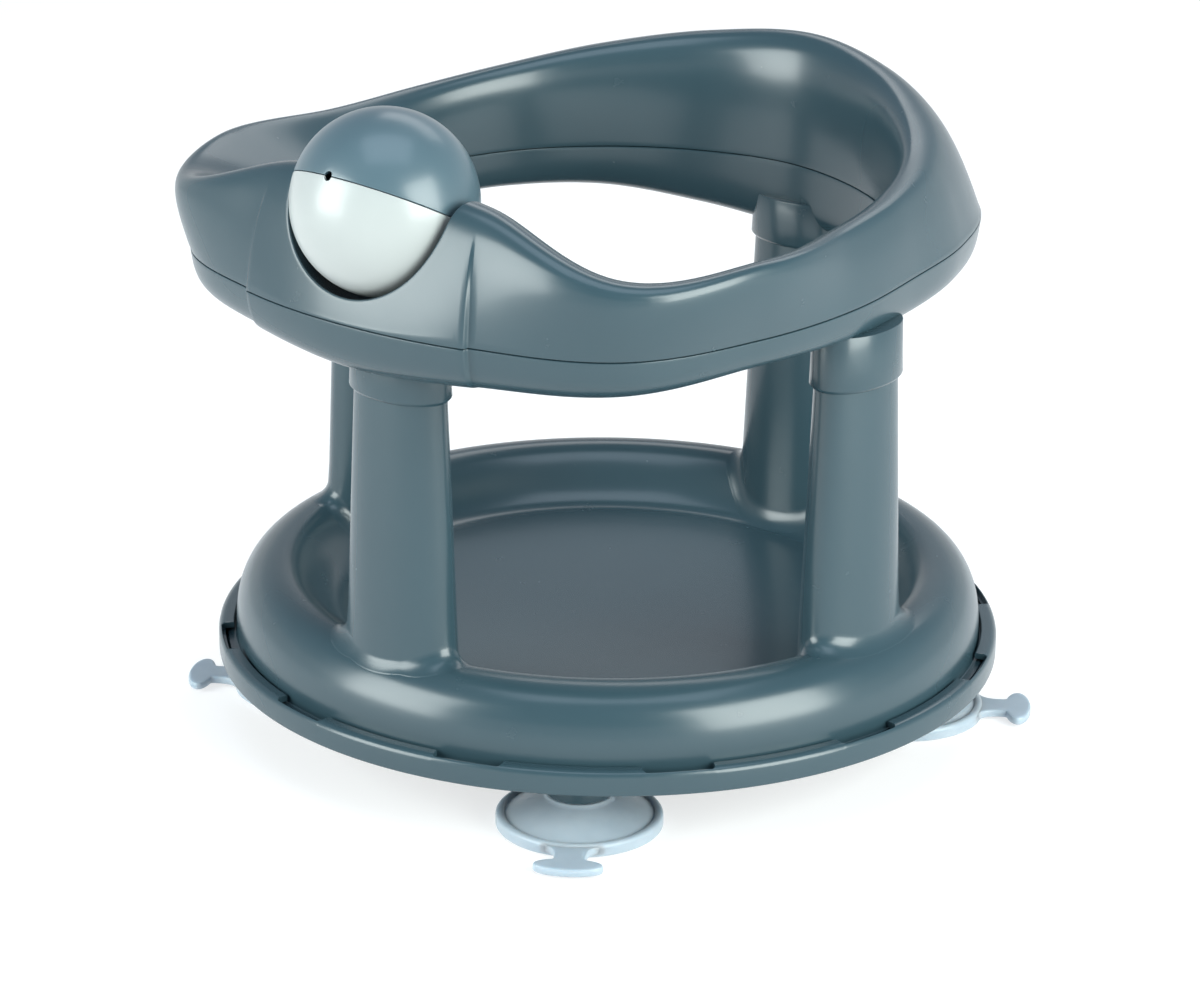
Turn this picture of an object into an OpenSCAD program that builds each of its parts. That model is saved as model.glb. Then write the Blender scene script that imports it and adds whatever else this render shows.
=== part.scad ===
// Swivel bath seat for a baby: a fixed base ring on four suction cups, a seat dish with four posts
// that turns in it, and a two-part ring round the baby's body with a play ball at the front.
// Origin: on the bath floor under the swivel axis. +Z is up. The cups lie on the X and Y axes.

/* [Base ring] */
// Outer radius of the fixed base ring
base_r = 142.5; // [130:0.5:160]
// Height of the underside of the base ring over the bath floor
base_z = 24.8; // [22:0.1:40]
// Height of the outer wall of the base ring
base_wall_h = 8.8; // [8:0.1:14]
// Wall thickness of the base ring
base_wall = 2.4; // [1.6:0.1:2.8]
// Width of the lip over the seat's flange, measured from the outer radius
base_lip_w = 5.6; // [5:0.1:8]
// Width of the base ring's floor
base_floor_w = 54.5; // [50:0.5:60]
// Height of the upstand on the inner edge of the floor
base_upstand_h = 5; // [3:0.5:7]
// Number of windows in the lip
window_count = 12; // [4:1:14]
// Length of one window along the lip
window_len = 25; // [10:1:30]
// Turn of the first window from the first cup, in degrees
window_turn = 15; // [0:1:30]
// Radius of the bosses that hold the cups
cup_boss_r = 12; // [10:0.5:15]
// Distance of the cups' centres in from the base ring's outer radius
cup_inset = 33; // [28:0.5:38]

/* [Suction cups] */
// Number of suction cups
cup_count = 4; // [4:1:4]
// Radius of a suction cup
cup_r = 29.2; // [24:0.1:32]
// Height of the cup's thick rim
cup_rim_h = 4.6; // [3.5:0.1:6]
// Width of the cup's thick rim
cup_rim_w = 3; // [2:0.1:4]
// Height of the cup's hollow
cup_hollow_h = 2.4; // [1:0.1:3]
// Thickness of the cup's skin
cup_skin = 1.8; // [1.2:0.1:2.5]
// Height of the shoulder that meets the boss
cup_shoulder_z = 11.6; // [10:0.1:14]
// Radius of the stem in the boss
cup_stem_r = 6; // [4:0.1:7]
// Radius of the knob over the boss
cup_knob_r = 8; // [7:0.1:10]
// Height of the knob
cup_knob_h = 4; // [2:0.1:6]
// Length of the release tab, across the cup
tab_len = 24; // [16:0.5:30]
// Width of the release tab, away from the cup
tab_w = 9.6; // [7:0.1:14]
// Thickness of the release tab
tab_t = 3; // [2:0.1:4]
// Width of the neck of the tab
neck_w = 11; // [7:0.5:14]
// Clear length of the neck
neck_len = 8; // [4:0.1:12]

/* [Seat dish] */
// Distance of the rolled rim's top in from the base ring's outer radius
rim_inset = 23; // [20.5:0.5:26.5]
// Height of the rolled rim's top over the underside of the base ring
rim_rise = 33.1; // [29:0.1:39]
// Width of the bowl's wall, from its foot to the rim's top
bowl_wall_w = 25.5; // [21.5:0.5:34]
// Height of the wall's foot over the underside of the base ring
bowl_edge_rise = 13.7; // [12:0.1:19]
// Height of the middle of the bowl over the underside of the base ring
bowl_rise = 10.7; // [9:0.1:13]
// Thickness of the seat's shell
seat_wall = 2.6; // [2:0.1:3.2]
// Thickness of the flange that turns under the lip
flange_t = 2.8; // [2:0.1:3.2]

/* [Posts] */
// Distance of the front post's axis in from the rim's top
post_front_inset = 5.5; // [4.5:0.5:7.5]
// Distance of the side posts' axes in from the rim's top
post_side_inset = 9; // [7.5:0.5:10.5]
// Distance of the back post's axis in from the rim's top
post_back_inset = 5.5; // [4.5:0.5:9.5]
// Angle of the side posts from the front, in degrees
post_side_angle = 88.3; // [86:0.1:92]
// Radial depth of a post at rim height
post_depth_base = 27.6; // [25:0.1:29]
// Radial depth of a post at its top
post_depth_top = 22; // [20:0.1:24]
// Width of a post along the ring, as a multiple of its depth
post_aspect_share = 1.64; // [1.4:0.01:1.7]
// Wall thickness of a post
post_wall = 2.4; // [1.8:0.1:3]
// Radius of the sweep at the foot of a post
post_fillet = 7; // [4:0.5:9]

/* [Body ring] */
// How far the ring's front corners stand out past the top of the dish's rim
ring_overhang = 30.5; // [27.5:0.5:32.5]
// Height of the parting line between the shells
ring_z = 182.5; // [178:0.5:195]
// Rise of the backrest over the parting line
ring_rise = 50; // [46:0.5:56]
// Depth of the lower shell at the back
ring_drop = 28; // [25:0.5:30]
// Wall thickness of the ring's shells
ring_wall = 2.4; // [1.8:0.1:2.8]
// Drop of a collar's lower edge under the parting line
collar_drop = 32; // [29.5:0.5:37.5]
// Wall thickness of a collar
collar_wall = 1.5; // [1.2:0.1:2]
// Drop of the post's top under the parting line
post_top_drop = 17; // [15.5:0.5:19.5]
// Half the angle that the raised front panel takes, in degrees
panel_half_angle = 19.5; // [17:0.1:21]
// Height of the step round the front panel
panel_step = 2; // [1:0.1:2.5]

/* [Ball] */
// Radius of the play ball
ball_r = 32; // [29:0.1:33]
// Distance of the ball's centre in from the ring's largest radius
ball_inset = 29; // [27:0.1:31]
// Height of the ball's centre over the parting line
ball_rise = 36.8; // [34.5:0.1:38.5]
// Room round the ball in its pocket
ball_room = 3; // [2.5:0.1:4.5]
// Wall thickness of the ball and of its pocket
ball_wall = 2.2; // [1.6:0.1:2.6]
// Radius of a pivot pin
pin_r = 3; // [2:0.1:3.4]
// Tilt of the ball's seam at rest, in degrees
ball_tilt = 29; // [0:1:60]
// Radius of a drain hole in the seam
drain_r = 1.5; // [1:0.1:2]

/* [Seat position] */
// Turn of the seat on its base at rest, in degrees
seat_turn = -33.7; // [-180:0.1:180]

/* [Hidden] */
$fn = 96;
shell_grey = [0.45, 0.53, 0.55];
ball_white = [0.9, 0.92, 0.91];
cup_blue = [0.8, 0.87, 0.91];
steel = [0.75, 0.76, 0.78];

// Fits
over = 1;
slide_gap = 0.3;
flange_side_gap = 0.9;
lip_gap = 1;
socket_gap = 0.15;
pin_gap = 0.05;
screw_gap = 0.2;
seam_gap = 0.1;

// Base ring, from its driving sizes
base_floor_z = base_z + base_wall;
base_top_z = base_z + base_wall_h;
base_lip_t = base_wall * 0.9;
base_edge_r = base_wall * 0.9;
lip_inner_r = base_r - base_lip_w;
base_inner_r = base_r - base_floor_w;
window_outer_r = base_r - base_wall * 0.5;
window_corner_r = base_wall * 0.6;
cup_circle_r = base_r - cup_inset;
cup_boss_z = cup_shoulder_z + slide_gap;

// Seat dish
rim_r = base_r - rim_inset;
rim_z = base_z + rim_rise;
bowl_r = rim_r - bowl_wall_w;
bowl_edge_z = base_z + bowl_edge_rise;
bowl_z = base_z + bowl_rise;
flange_z = base_floor_z + slide_gap;
flange_r = base_r - base_wall - flange_side_gap;
dish_r = lip_inner_r - lip_gap;
dish_curve_z = base_top_z + flange_t;
guide_r = base_inner_r + base_wall + lip_gap;

// Posts stand at the front, the sides and the back: [angle, distance]
post_front_r = rim_r - post_front_inset;
post_side_r = rim_r - post_side_inset;
post_back_r = rim_r - post_back_inset;
post_top_z = ring_z - post_top_drop;
POSTS = [
    [0, post_front_r], [post_side_angle, post_side_r], [180, post_back_r], [-post_side_angle, post_side_r]
];
post_taper = (post_depth_base - post_depth_top) / (post_top_z - rim_z) / 2;
post_root_z = bowl_edge_z - seat_wall;
post_root_r = post_depth_base / 2 + (rim_z - post_root_z) * post_taper;
post_tip_r = post_depth_top / 2;
post_roof = post_wall * 1.2;
foot_least_share = 0.4;
foot_sink = seat_wall * 0.3;
foot_steps = 5;
oval_sides = 48;
function post_r_at(z) = post_tip_r + (post_top_z - z) * post_taper;

// Screws, all of one size
screw_r = 1.9;
screw_len = 18;
screw_head_r = 3.6;
screw_head_h = 2.2;
screw_drive_r = 1.5;
screw_boss_r = 5.2;
screw_seat_z = ring_z - screw_len * 0.6;
SCREW_ANGLES = [45, 115, 150, -150, -115, -45];

// Collars
collar_z = ring_z - collar_drop;
collar_out = socket_gap + collar_wall;
collar_chamfer = collar_wall * 0.8;
collar_roof_z = post_top_z + socket_gap;
collar_top_z = collar_roof_z + ring_wall;
collar_blend = ring_wall * 1.1;

// Body ring, over the posts
ring_r = rim_r + ring_overhang;
// Shares of ring_r, ring_rise and ring_drop at equal steps from the front to the back
OUT_SHARES = [0.949, 0.963, 1, 0.9, 0.827, 0.793, 0.835, 0.905, 0.925, 0.915];
IN_SHARES = [0.547, 0.56, 0.613, 0.653, 0.673, 0.673, 0.673, 0.673, 0.68, 0.693];
BROW_R_SHARES = [0.887, 0.927, 1.085, 1, 0.817, 0.773, 0.787, 0.817, 0.827, 0.837];
BROW_Z_SHARES = [1.11, 1.07, 0.73, 0.76, 0.63, 0.59, 0.61, 0.73, 0.89, 0.99];
LIP_R_SHARES = [0.6, 0.613, 0.653, 0.66, 0.667, 0.66, 0.653, 0.647, 0.673, 0.693];
LIP_Z_SHARES = [0.51, 0.45, 0.09, 0.13, 0.37, 0.53, 0.67, 0.79, 0.85, 0.89];
KEEL_SHARES = [0.757, 0.657, 0.59, 0.46, 0.475, 0.55, 0.57, 0.64, 0.846, 1];
brow_pull_share = 0.75;
keel_pull_share = 0.86;
keel_out = ring_wall * 0.67;
keel_in = ring_wall * 0.4;
panel_blend_angle = 1.4;
panel_steps = 6;
ring_steps = 64;
brow_points = 18;
keel_points = 12;

// Ball and its pocket
ball_front = ring_r - ball_inset;
ball_z = ring_z + ball_rise;
pocket_r = ball_r + ball_room;
pocket_wall = ball_wall;
pin_len = 23;
pin_hub_r = pin_r + ball_wall * 1.2;
pin_boss_r = pin_r + ring_wall * 1.2;
pin_end = pocket_r + ring_wall * 3;
pin_start = pin_end - pin_len;
seam_lip_h = ball_wall;

// Smooth curve through equally spaced values, mirrored at both ends
function fold_angle(a) = let (b = a - 360 * floor(a / 360)) b > 180 ? 360 - b : b;
function station(v, a) =
    let (
        n = len(v) - 1,
        s = fold_angle(a) / 180 * n,
        i = min(floor(s), n - 1),
        t = s - i,
        p = i == 0 ? v[1] : v[i - 1],
        q = v[i],
        r = v[i + 1],
        w = i == n - 1 ? v[n - 1] : v[i + 2]
    )
    (2 * q + (r - p) * t + (2 * p - 5 * q + 4 * r - w) * t * t + (3 * q - p - 3 * r + w) * t * t * t) / 2;

function clamp(x) = max(0, min(1, x));
function ease(x) = let (c = clamp(x)) c * c * (3 - 2 * c);
function cubic(a, b, c, d, t) =
    let (u = 1 - t) u * u * u * a + 3 * u * u * t * b + 3 * u * t * t * c + t * t * t * d;

// Curve from a to d that rounds the corners b and c; it passes the middle of b and c
function two_corners(a, b, c, d, pull, t) =
    let (m = (b + c) / 2)
    t < 0.5
    ? cubic(a, a + pull * (b - a), m + pull * (b - m), m, 2 * t)
    : cubic(m, m + pull * (c - m), d + pull * (c - d), d, 2 * t - 1);

// Path moved to its left by dist; its ends, which lie on the parting plane, move level
function unit(v) = v / norm(v);
function left_of(path, i) =
    let (d = unit(path[i + 1] - path[i - 1])) [-d[1], d[0]];
function level_share(path, i, dist) = ease(abs(path[i][1] - path[0][1]) / dist / 3);
function moved_left(path, dist) =
    let (n = len(path) - 1, s = sign(path[n][0] - path[0][0]))
    [for (i = [0 : n])
        i == 0 ? path[0] + [s * dist, 0]
        : i == n ? path[n] - [s * dist, 0]
        : let (l = left_of(path, i)) path[i] + dist * [l[0], l[1] * level_share(path, i, dist)]];
function reversed(path) = [for (i = [len(path) - 1 : -1 : 0]) path[i]];

// Angles of the ring's sections: the front panel, then the rest
panel_in_angle = panel_half_angle - panel_blend_angle / 2;
panel_out_angle = panel_half_angle + panel_blend_angle / 2;
RING_ANGLES = concat(
    [for (k = [0 : panel_steps]) -panel_in_angle + 2 * panel_in_angle * k / panel_steps],
    [for (k = [0 : ring_steps]) panel_out_angle + (360 - 2 * panel_out_angle) * k / ring_steps]
);
function panel_lift(a) =
    panel_step * (1 - ease((fold_angle(a) - panel_in_angle) / (panel_out_angle - panel_in_angle)));

// Outer skins as [radius, height], both with the inside of the ring on the left
function upper_skin(a) =
    let (
        start = [ring_r * station(OUT_SHARES, a), ring_z],
        brow = [ring_r * station(BROW_R_SHARES, a), ring_z + ring_rise * station(BROW_Z_SHARES, a)],
        lip = [ring_r * station(LIP_R_SHARES, a), ring_z + ring_rise * station(LIP_Z_SHARES, a)],
        end = [ring_r * station(IN_SHARES, a), ring_z]
    )
    [for (k = [0 : brow_points])
        let (t = k / brow_points)
        two_corners(start, brow, lip, end, brow_pull_share, t) + [panel_lift(a) * (1 - ease(4 * t - 0.6)), 0]];
function lower_skin(a) =
    let (
        keel_z = ring_z - ring_drop * station(KEEL_SHARES, a),
        start = [ring_r * station(IN_SHARES, a), ring_z],
        end = [ring_r * station(OUT_SHARES, a), ring_z]
    )
    [for (k = [0 : keel_points])
        let (t = k / keel_points)
        two_corners(start, [start[0] + keel_in, keel_z], [end[0] - keel_out, keel_z], end, keel_pull_share, t)
        + [panel_lift(a) * ease(3 * t - 1.6), 0]];

// Section loops swept round the axis
function on_ring(p, a) = [p[0] * sin(a), -p[0] * cos(a), p[1]];
module swept(loops) {
    n = len(loops);
    m = len(loops[0]);
    polyhedron(
        points = [for (i = [0 : n - 1]) for (p = loops[i]) on_ring(p, RING_ANGLES[i])],
        faces = [for (i = [0 : n - 1]) for (j = [0 : m - 1])
            let (
                a = i * m + j,
                b = i * m + (j + 1) % m,
                c = (i + 1) % n * m + (j + 1) % m,
                d = (i + 1) % n * m + j
            )
            each [[a, b, c], [a, c, d]]]
    );
}
module upper_shell_skin() {
    swept([for (a = RING_ANGLES) let (p = upper_skin(a)) concat(p, reversed(moved_left(p, ring_wall)))]);
}
module lower_shell_skin() {
    swept([for (a = RING_ANGLES) let (p = lower_skin(a)) concat(p, reversed(moved_left(p, ring_wall)))]);
}
module upper_core() {
    swept([for (a = RING_ANGLES) moved_left(upper_skin(a), ring_wall / 2)]);
}
module lower_core() {
    swept([for (a = RING_ANGLES) moved_left(lower_skin(a), ring_wall / 2)]);
}

// Places
module on_seat() {
    rotate([0, 0, seat_turn]) children();
}
module at_post(p) {
    rotate([0, 0, p[0]]) translate([0, -p[1], 0]) children();
}
module at_shell_screw(a) {
    mid_r = ring_r * (station(OUT_SHARES, a) + station(IN_SHARES, a)) / 2;
    rotate([0, 0, a]) translate([0, -mid_r, 0]) children();
}
module at_ball() {
    translate([0, -ball_front, ball_z]) children();
}
// Solid through levels of points, each level a ring of oval_sides points
module ring_loft(levels) {
    n = oval_sides;
    last = len(levels) - 1;
    polyhedron(
        points = [for (l = levels) each l],
        faces = concat(
            [[for (k = [0 : n - 1]) k]],
            [[for (k = [n - 1 : -1 : 0]) last * n + k]],
            [for (i = [0 : last - 1]) for (k = [0 : n - 1])
                let (a = i * n + k, b = i * n + (k + 1) % n)
                each [[a, b + n, b], [a, a + n, b + n]]]
        )
    );
}
// Point k of a post's oval with radial half depth r, grown by out
function oval_point(r, out, z, k) =
    let (a = k * 360 / oval_sides)
    [(r * post_aspect_share + out) * cos(a), (r + out) * sin(a), z];
// Loft through levels [radial half depth, growth on all sides, height] of a post's oval
module oval_loft(levels) {
    ring_loft([for (l = levels) [for (k = [0 : oval_sides - 1]) oval_point(l[0], l[1], l[2], k)]]);
}
// Round-ended solid of revolution: a half ball with a cylinder on it
module bowl_form(r, h) {
    rotate_extrude() union() {
        intersection() {
            circle(r = r);
            translate([0, -r - over]) square([r + over, r + over]);
        }
        square([r, h]);
    }
}
module tube(r_out, r_in, z_low, z_high) {
    translate([0, 0, z_low]) difference() {
        cylinder(r = r_out, h = z_high - z_low);
        translate([0, 0, -over]) cylinder(r = r_in, h = z_high - z_low + 2 * over);
    }
}

// Fixed base ring: floor, outer wall with a rounded top edge, lip with windows, bosses for the cups
module base_ring() {
    color(shell_grey) difference() {
        union() {
            rotate_extrude() base_ring_section();
            for (k = [0 : cup_count - 1])
                rotate([0, 0, k * 360 / cup_count]) translate([0, -cup_circle_r, cup_boss_z])
                    cylinder(r = cup_boss_r, h = base_floor_z - cup_boss_z);
        }
        for (k = [0 : cup_count - 1])
            rotate([0, 0, k * 360 / cup_count]) translate([0, -cup_circle_r, cup_boss_z - over])
                cylinder(r = cup_stem_r + slide_gap, h = base_floor_z - cup_boss_z + 2 * over);
        for (k = [0 : window_count - 1])
            rotate([0, 0, window_turn + k * 360 / window_count]) lip_window();
    }
}
module base_ring_section() {
    polygon(concat(
        [[base_inner_r, base_z], [base_r, base_z]],
        [for (k = [0 : 6]) let (t = k * 15)
            [base_r - base_edge_r * (1 - cos(t)), base_top_z - base_edge_r * (1 - sin(t))]],
        [
            [lip_inner_r, base_top_z],
            [lip_inner_r, base_top_z - base_lip_t],
            [base_r - base_wall, base_top_z - base_lip_t],
            [base_r - base_wall, base_floor_z],
            [base_inner_r + base_wall, base_floor_z],
            [base_inner_r + base_wall, base_floor_z + base_upstand_h],
            [base_inner_r, base_floor_z + base_upstand_h]
        ]
    ));
}
module lip_window() {
    corner_x = window_len / 2 - window_corner_r;
    translate([0, 0, base_top_z - base_lip_t - slide_gap]) linear_extrude(base_lip_t + over) union() {
        for (s = [-1, 1])
            translate([s * corner_x, -window_outer_r + window_corner_r]) circle(r = window_corner_r);
        translate([-corner_x, -window_outer_r]) square([2 * corner_x, base_lip_w]);
        translate([-window_len / 2, -window_outer_r + window_corner_r]) square([window_len, base_lip_w]);
    }
}

// Suction cup: thick rim, thin skin over the hollow, shoulder, stem and knob, and a release tab
module suction_cup(k) {
    color(cup_blue) rotate([0, 0, k * 360 / cup_count]) translate([0, -cup_circle_r, 0]) {
        rotate_extrude() cup_section();
        cup_tab();
    }
}
module cup_section() {
    groove_r = cup_r - cup_rim_w - cup_skin;
    shoulder_r = cup_boss_r;
    knob_z = base_floor_z + slide_gap;
    polygon(concat(
        [[0, cup_hollow_h], [cup_r * 0.5, cup_hollow_h * 0.8], [cup_r - cup_rim_w, 0], [cup_r, 0]],
        [for (k = [0 : 6]) let (t = k * 30)
            [cup_r - cup_rim_w / 2 * (1 - cos(t)), cup_rim_h - cup_rim_w / 2 * (1 - sin(t))]],
        [[groove_r, cup_hollow_h + cup_skin * 0.3]],
        [for (k = [0 : 8]) let (t = k / 8)
            cubic(
                [groove_r - cup_skin, cup_hollow_h + cup_skin * 0.6],
                [groove_r * 0.8, cup_shoulder_z * 0.55],
                [groove_r * 0.7, cup_shoulder_z * 0.6],
                [shoulder_r, cup_shoulder_z * 0.8],
                t
            )],
        [
            [shoulder_r - cup_skin * 0.5, cup_shoulder_z],
            [cup_stem_r, cup_shoulder_z],
            [cup_stem_r, knob_z],
            [cup_knob_r, knob_z],
            [cup_knob_r, knob_z + cup_knob_h * 0.4],
            [cup_stem_r * 0.6, knob_z + cup_knob_h],
            [0, knob_z + cup_knob_h]
        ]
    ));
}
module cup_tab() {
    tab_z = cup_rim_h - tab_t - cup_skin * 0.4;
    tab_centre = -cup_r - neck_len - tab_w / 2;
    translate([0, 0, tab_z]) {
        translate([0, tab_centre, 0]) scale([tab_len / tab_w, 1, 1]) union() {
            cylinder(r = tab_w / 2, h = tab_t - cup_skin * 0.4);
            translate([0, 0, tab_t - cup_skin * 0.4])
                cylinder(r1 = tab_w / 2, r2 = tab_w / 2 - cup_skin * 0.4, h = cup_skin * 0.4);
        }
        translate([-neck_w / 2, tab_centre, cup_skin * 0.2])
            cube([neck_w, -tab_centre - cup_r + cup_rim_w, tab_t - cup_skin * 0.4]);
    }
}
module suction_cup_1() { suction_cup(0); }
module suction_cup_2() { suction_cup(1); }
module suction_cup_3() { suction_cup(2); }
module suction_cup_4() { suction_cup(3); }

// Seat dish: bowl, rolled rim, flange under the lip, guide rib, and four hollow posts
dish_outer = concat(
    [[dish_r, flange_z + flange_t]],
    [for (k = [0 : 12]) cubic(
        [dish_r, dish_curve_z],
        [dish_r, dish_curve_z + (rim_z - dish_curve_z) * 0.6],
        [rim_r + (dish_r - rim_r) * 0.62, rim_z],
        [rim_r, rim_z],
        k / 12
    )],
    [for (k = [1 : 12]) cubic(
        [rim_r, rim_z],
        [rim_r - (rim_r - bowl_r) * 0.5, rim_z],
        [bowl_r + (rim_r - bowl_r) * 0.45, bowl_edge_z],
        [bowl_r, bowl_edge_z],
        k / 12
    )],
    [for (k = [1 : 6]) cubic(
        [bowl_r, bowl_edge_z],
        [bowl_r * 0.8, bowl_edge_z],
        [bowl_r * 0.4, bowl_z],
        [0, bowl_z],
        k / 6
    )]
);
dish_inner = concat(
    [dish_outer[0] - [seat_wall, 0]],
    [for (i = [1 : len(dish_outer) - 2]) dish_outer[i] + seat_wall * left_of(dish_outer, i)],
    [dish_outer[len(dish_outer) - 1] - [0, seat_wall]]
);
module dish_under() {
    rotate_extrude() polygon(concat([[0, 0], [dish_inner[0][0], 0]], dish_inner));
}
module dish_skin() {
    rotate_extrude() polygon(concat(
        [[flange_r, flange_z], [flange_r, flange_z + flange_t]],
        dish_outer,
        reversed(dish_inner),
        [[dish_inner[0][0], flange_z]]
    ));
}
// A post whose foot sweeps out onto the rim: the sweep gets smaller where the rim falls away
function rim_height(p, dist) = lookup(norm([p[0], p[1] - dist]), dish_outer);
function foot_reach(k, dist) =
    let (
        a = oval_point(post_depth_base / 2, 0, 0, k),
        b = oval_point(post_depth_base / 2, post_fillet, 0, k),
        fall = clamp((rim_height(a, dist) - rim_height(b, dist)) / post_fillet)
    )
    post_fillet * (1 - fall * (1 - foot_least_share));
function foot_point(k, t, dist) =
    let (
        reach = foot_reach(k, dist),
        wall = oval_point(post_depth_base / 2, 0, 0, k),
        edge = oval_point(post_depth_base / 2, reach, 0, k),
        low = [edge[0], edge[1], rim_height(edge, dist) - foot_sink],
        corner = [wall[0], wall[1], rim_height(wall, dist)],
        top_z = corner[2] + reach,
        high = oval_point(post_r_at(top_z), 0, top_z, k)
    )
    (1 - t) * (1 - t) * low + 2 * t * (1 - t) * corner + t * t * high;
module post_body(dist) {
    ring_loft(concat(
        [[for (k = [0 : oval_sides - 1]) oval_point(post_depth_base / 2, 0, post_root_z, k)]],
        [for (i = [0 : foot_steps]) [for (k = [0 : oval_sides - 1]) foot_point(k, i / foot_steps, dist)]],
        [[for (k = [0 : oval_sides - 1]) oval_point(post_tip_r, 0, post_top_z, k)]]
    ));
}
module post_bore() {
    bore_top = post_top_z - post_roof;
    difference() {
        oval_loft([
            [post_root_r, -post_wall, post_root_z - over],
            [post_r_at(bore_top), -post_wall, bore_top]
        ]);
        translate([0, 0, bore_top - screw_len]) cylinder(r = screw_boss_r, h = screw_len + over);
    }
}
module seat_dish() {
    color(shell_grey) on_seat() difference() {
        union() {
            dish_skin();
            tube(guide_r + seat_wall, guide_r, flange_z, rim_height([guide_r, 0], 0) - seat_wall / 2);
            difference() {
                for (p = POSTS) at_post(p) post_body(p[1]);
                dish_under();
            }
        }
        for (p = POSTS)
            at_post(p) {
                post_bore();
                translate([0, 0, post_top_z - screw_len])
                    cylinder(r = screw_r + pin_gap, h = screw_len + over);
            }
    }
}

// Lower shell of the body ring, with the collars that take the posts
module collar_body(p) {
    keel_z = ring_z - ring_drop * station(KEEL_SHARES, p[0]);
    oval_loft([
        [post_r_at(collar_z), collar_out - collar_chamfer, collar_z],
        [post_r_at(collar_z), collar_out, collar_z + collar_chamfer],
        [post_tip_r, collar_out, max(keel_z + ring_wall, collar_top_z)]
    ]);
}
module collar_shoulder() {
    oval_loft([
        [post_tip_r, collar_out, collar_roof_z],
        [post_tip_r, -collar_blend, ring_z - ring_wall]
    ]);
}
module collar_bore() {
    oval_loft([
        [post_r_at(collar_z - over), socket_gap, collar_z - over],
        [post_r_at(collar_roof_z), socket_gap, collar_roof_z]
    ]);
    translate([0, 0, collar_roof_z - over]) cylinder(r = screw_r + screw_gap, h = ring_wall + 2 * over);
    oval_loft([
        [post_tip_r, -collar_blend - ring_wall, collar_top_z],
        [post_tip_r, -collar_blend - ring_wall, ring_z + over]
    ]);
}
module ring_lower_shell() {
    color(shell_grey) on_seat() difference() {
        union() {
            lower_shell_skin();
            for (p = POSTS) at_post(p) collar_body(p);
            intersection() {
                lower_core();
                union() {
                    for (a = SCREW_ANGLES)
                        at_shell_screw(a) translate([0, 0, ring_z - ring_drop])
                            cylinder(r = screw_boss_r, h = ring_drop);
                    for (p = POSTS) at_post(p) collar_shoulder();
                }
            }
        }
        for (p = POSTS) at_post(p) collar_bore();
        for (a = SCREW_ANGLES)
            at_shell_screw(a) {
                translate([0, 0, screw_seat_z - over]) cylinder(r = screw_r + screw_gap, h = ring_drop + over);
                translate([0, 0, ring_z - 2 * ring_drop])
                    cylinder(r = screw_head_r + screw_gap, h = screw_seat_z - ring_z + 2 * ring_drop);
            }
    }
}

// Upper shell of the body ring, with the ball's pocket, the pin bosses and the screw bosses
module ring_upper_shell() {
    color(shell_grey) on_seat() difference() {
        union() {
            upper_shell_skin();
            intersection() {
                upper_core();
                union() {
                    at_ball() bowl_form(pocket_r + pocket_wall, ring_rise);
                    at_ball() rotate([0, 90, 0]) cylinder(r = pin_boss_r, h = 2 * pin_end, center = true);
                    for (a = SCREW_ANGLES)
                        at_shell_screw(a) translate([0, 0, ring_z]) cylinder(r = screw_boss_r, h = 2 * ring_rise);
                }
            }
        }
        at_ball() bowl_form(pocket_r, 2 * ring_rise);
        at_ball() rotate([0, 90, 0]) cylinder(r = pin_r + pin_gap, h = 2 * pin_end + over, center = true);
        for (a = SCREW_ANGLES)
            at_shell_screw(a) translate([0, 0, screw_seat_z])
                cylinder(r = screw_r + pin_gap, h = screw_len + screw_gap);
    }
}

// Screws: four hold the lower shell on the posts, six hold the shells together
module screw() {
    difference() {
        union() {
            cylinder(r = screw_r, h = screw_len - screw_gap);
            translate([0, 0, -screw_head_h]) cylinder(r1 = screw_head_r * 0.7, r2 = screw_head_r, h = screw_head_h);
        }
        translate([0, 0, -screw_head_h - over]) cylinder(r = screw_drive_r, h = screw_head_h * 0.6 + over, $fn = 6);
    }
}
module ring_screws() {
    color(steel) on_seat() {
        for (a = SCREW_ANGLES) at_shell_screw(a) translate([0, 0, screw_seat_z]) screw();
        for (p = POSTS) at_post(p) translate([0, 0, collar_top_z]) mirror([0, 0, 1]) screw();
    }
}

// Play ball: two half shells with a lipped seam, half hubs for the pins and two drain holes
module ball_half(side) {
    difference() {
        union() {
            mirror([0, 0, side > 0 ? 0 : 1]) rotate_extrude() difference() {
                circle(r = ball_r);
                circle(r = ball_r - ball_wall);
                translate([-ball_r - over, -ball_r - over]) square([2 * (ball_r + over), ball_r + over]);
                translate([-ball_r - over, -over]) square([ball_r + over, ball_r + 2 * over]);
            }
            for (s = [-1, 1])
                translate([s * (pin_start - ball_wall), 0, 0]) rotate([0, s * 90, 0])
                    half_hub(side * s);
        }
        for (s = [-1, 1])
            translate([s * pin_start, 0, 0]) rotate([0, s * 90, 0])
                cylinder(r = pin_r + pin_gap, h = ball_r);
        rotate([90, 0, 0]) cylinder(r = drain_r, h = 2 * ball_r + over, center = true);
    }
}
module half_hub(side) {
    linear_extrude(ball_r - pin_start + ball_wall / 2) difference() {
        circle(r = pin_hub_r);
        translate([side > 0 ? 0 : -pin_hub_r - over, -pin_hub_r - over])
            square([pin_hub_r + over, 2 * (pin_hub_r + over)]);
    }
}
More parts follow.
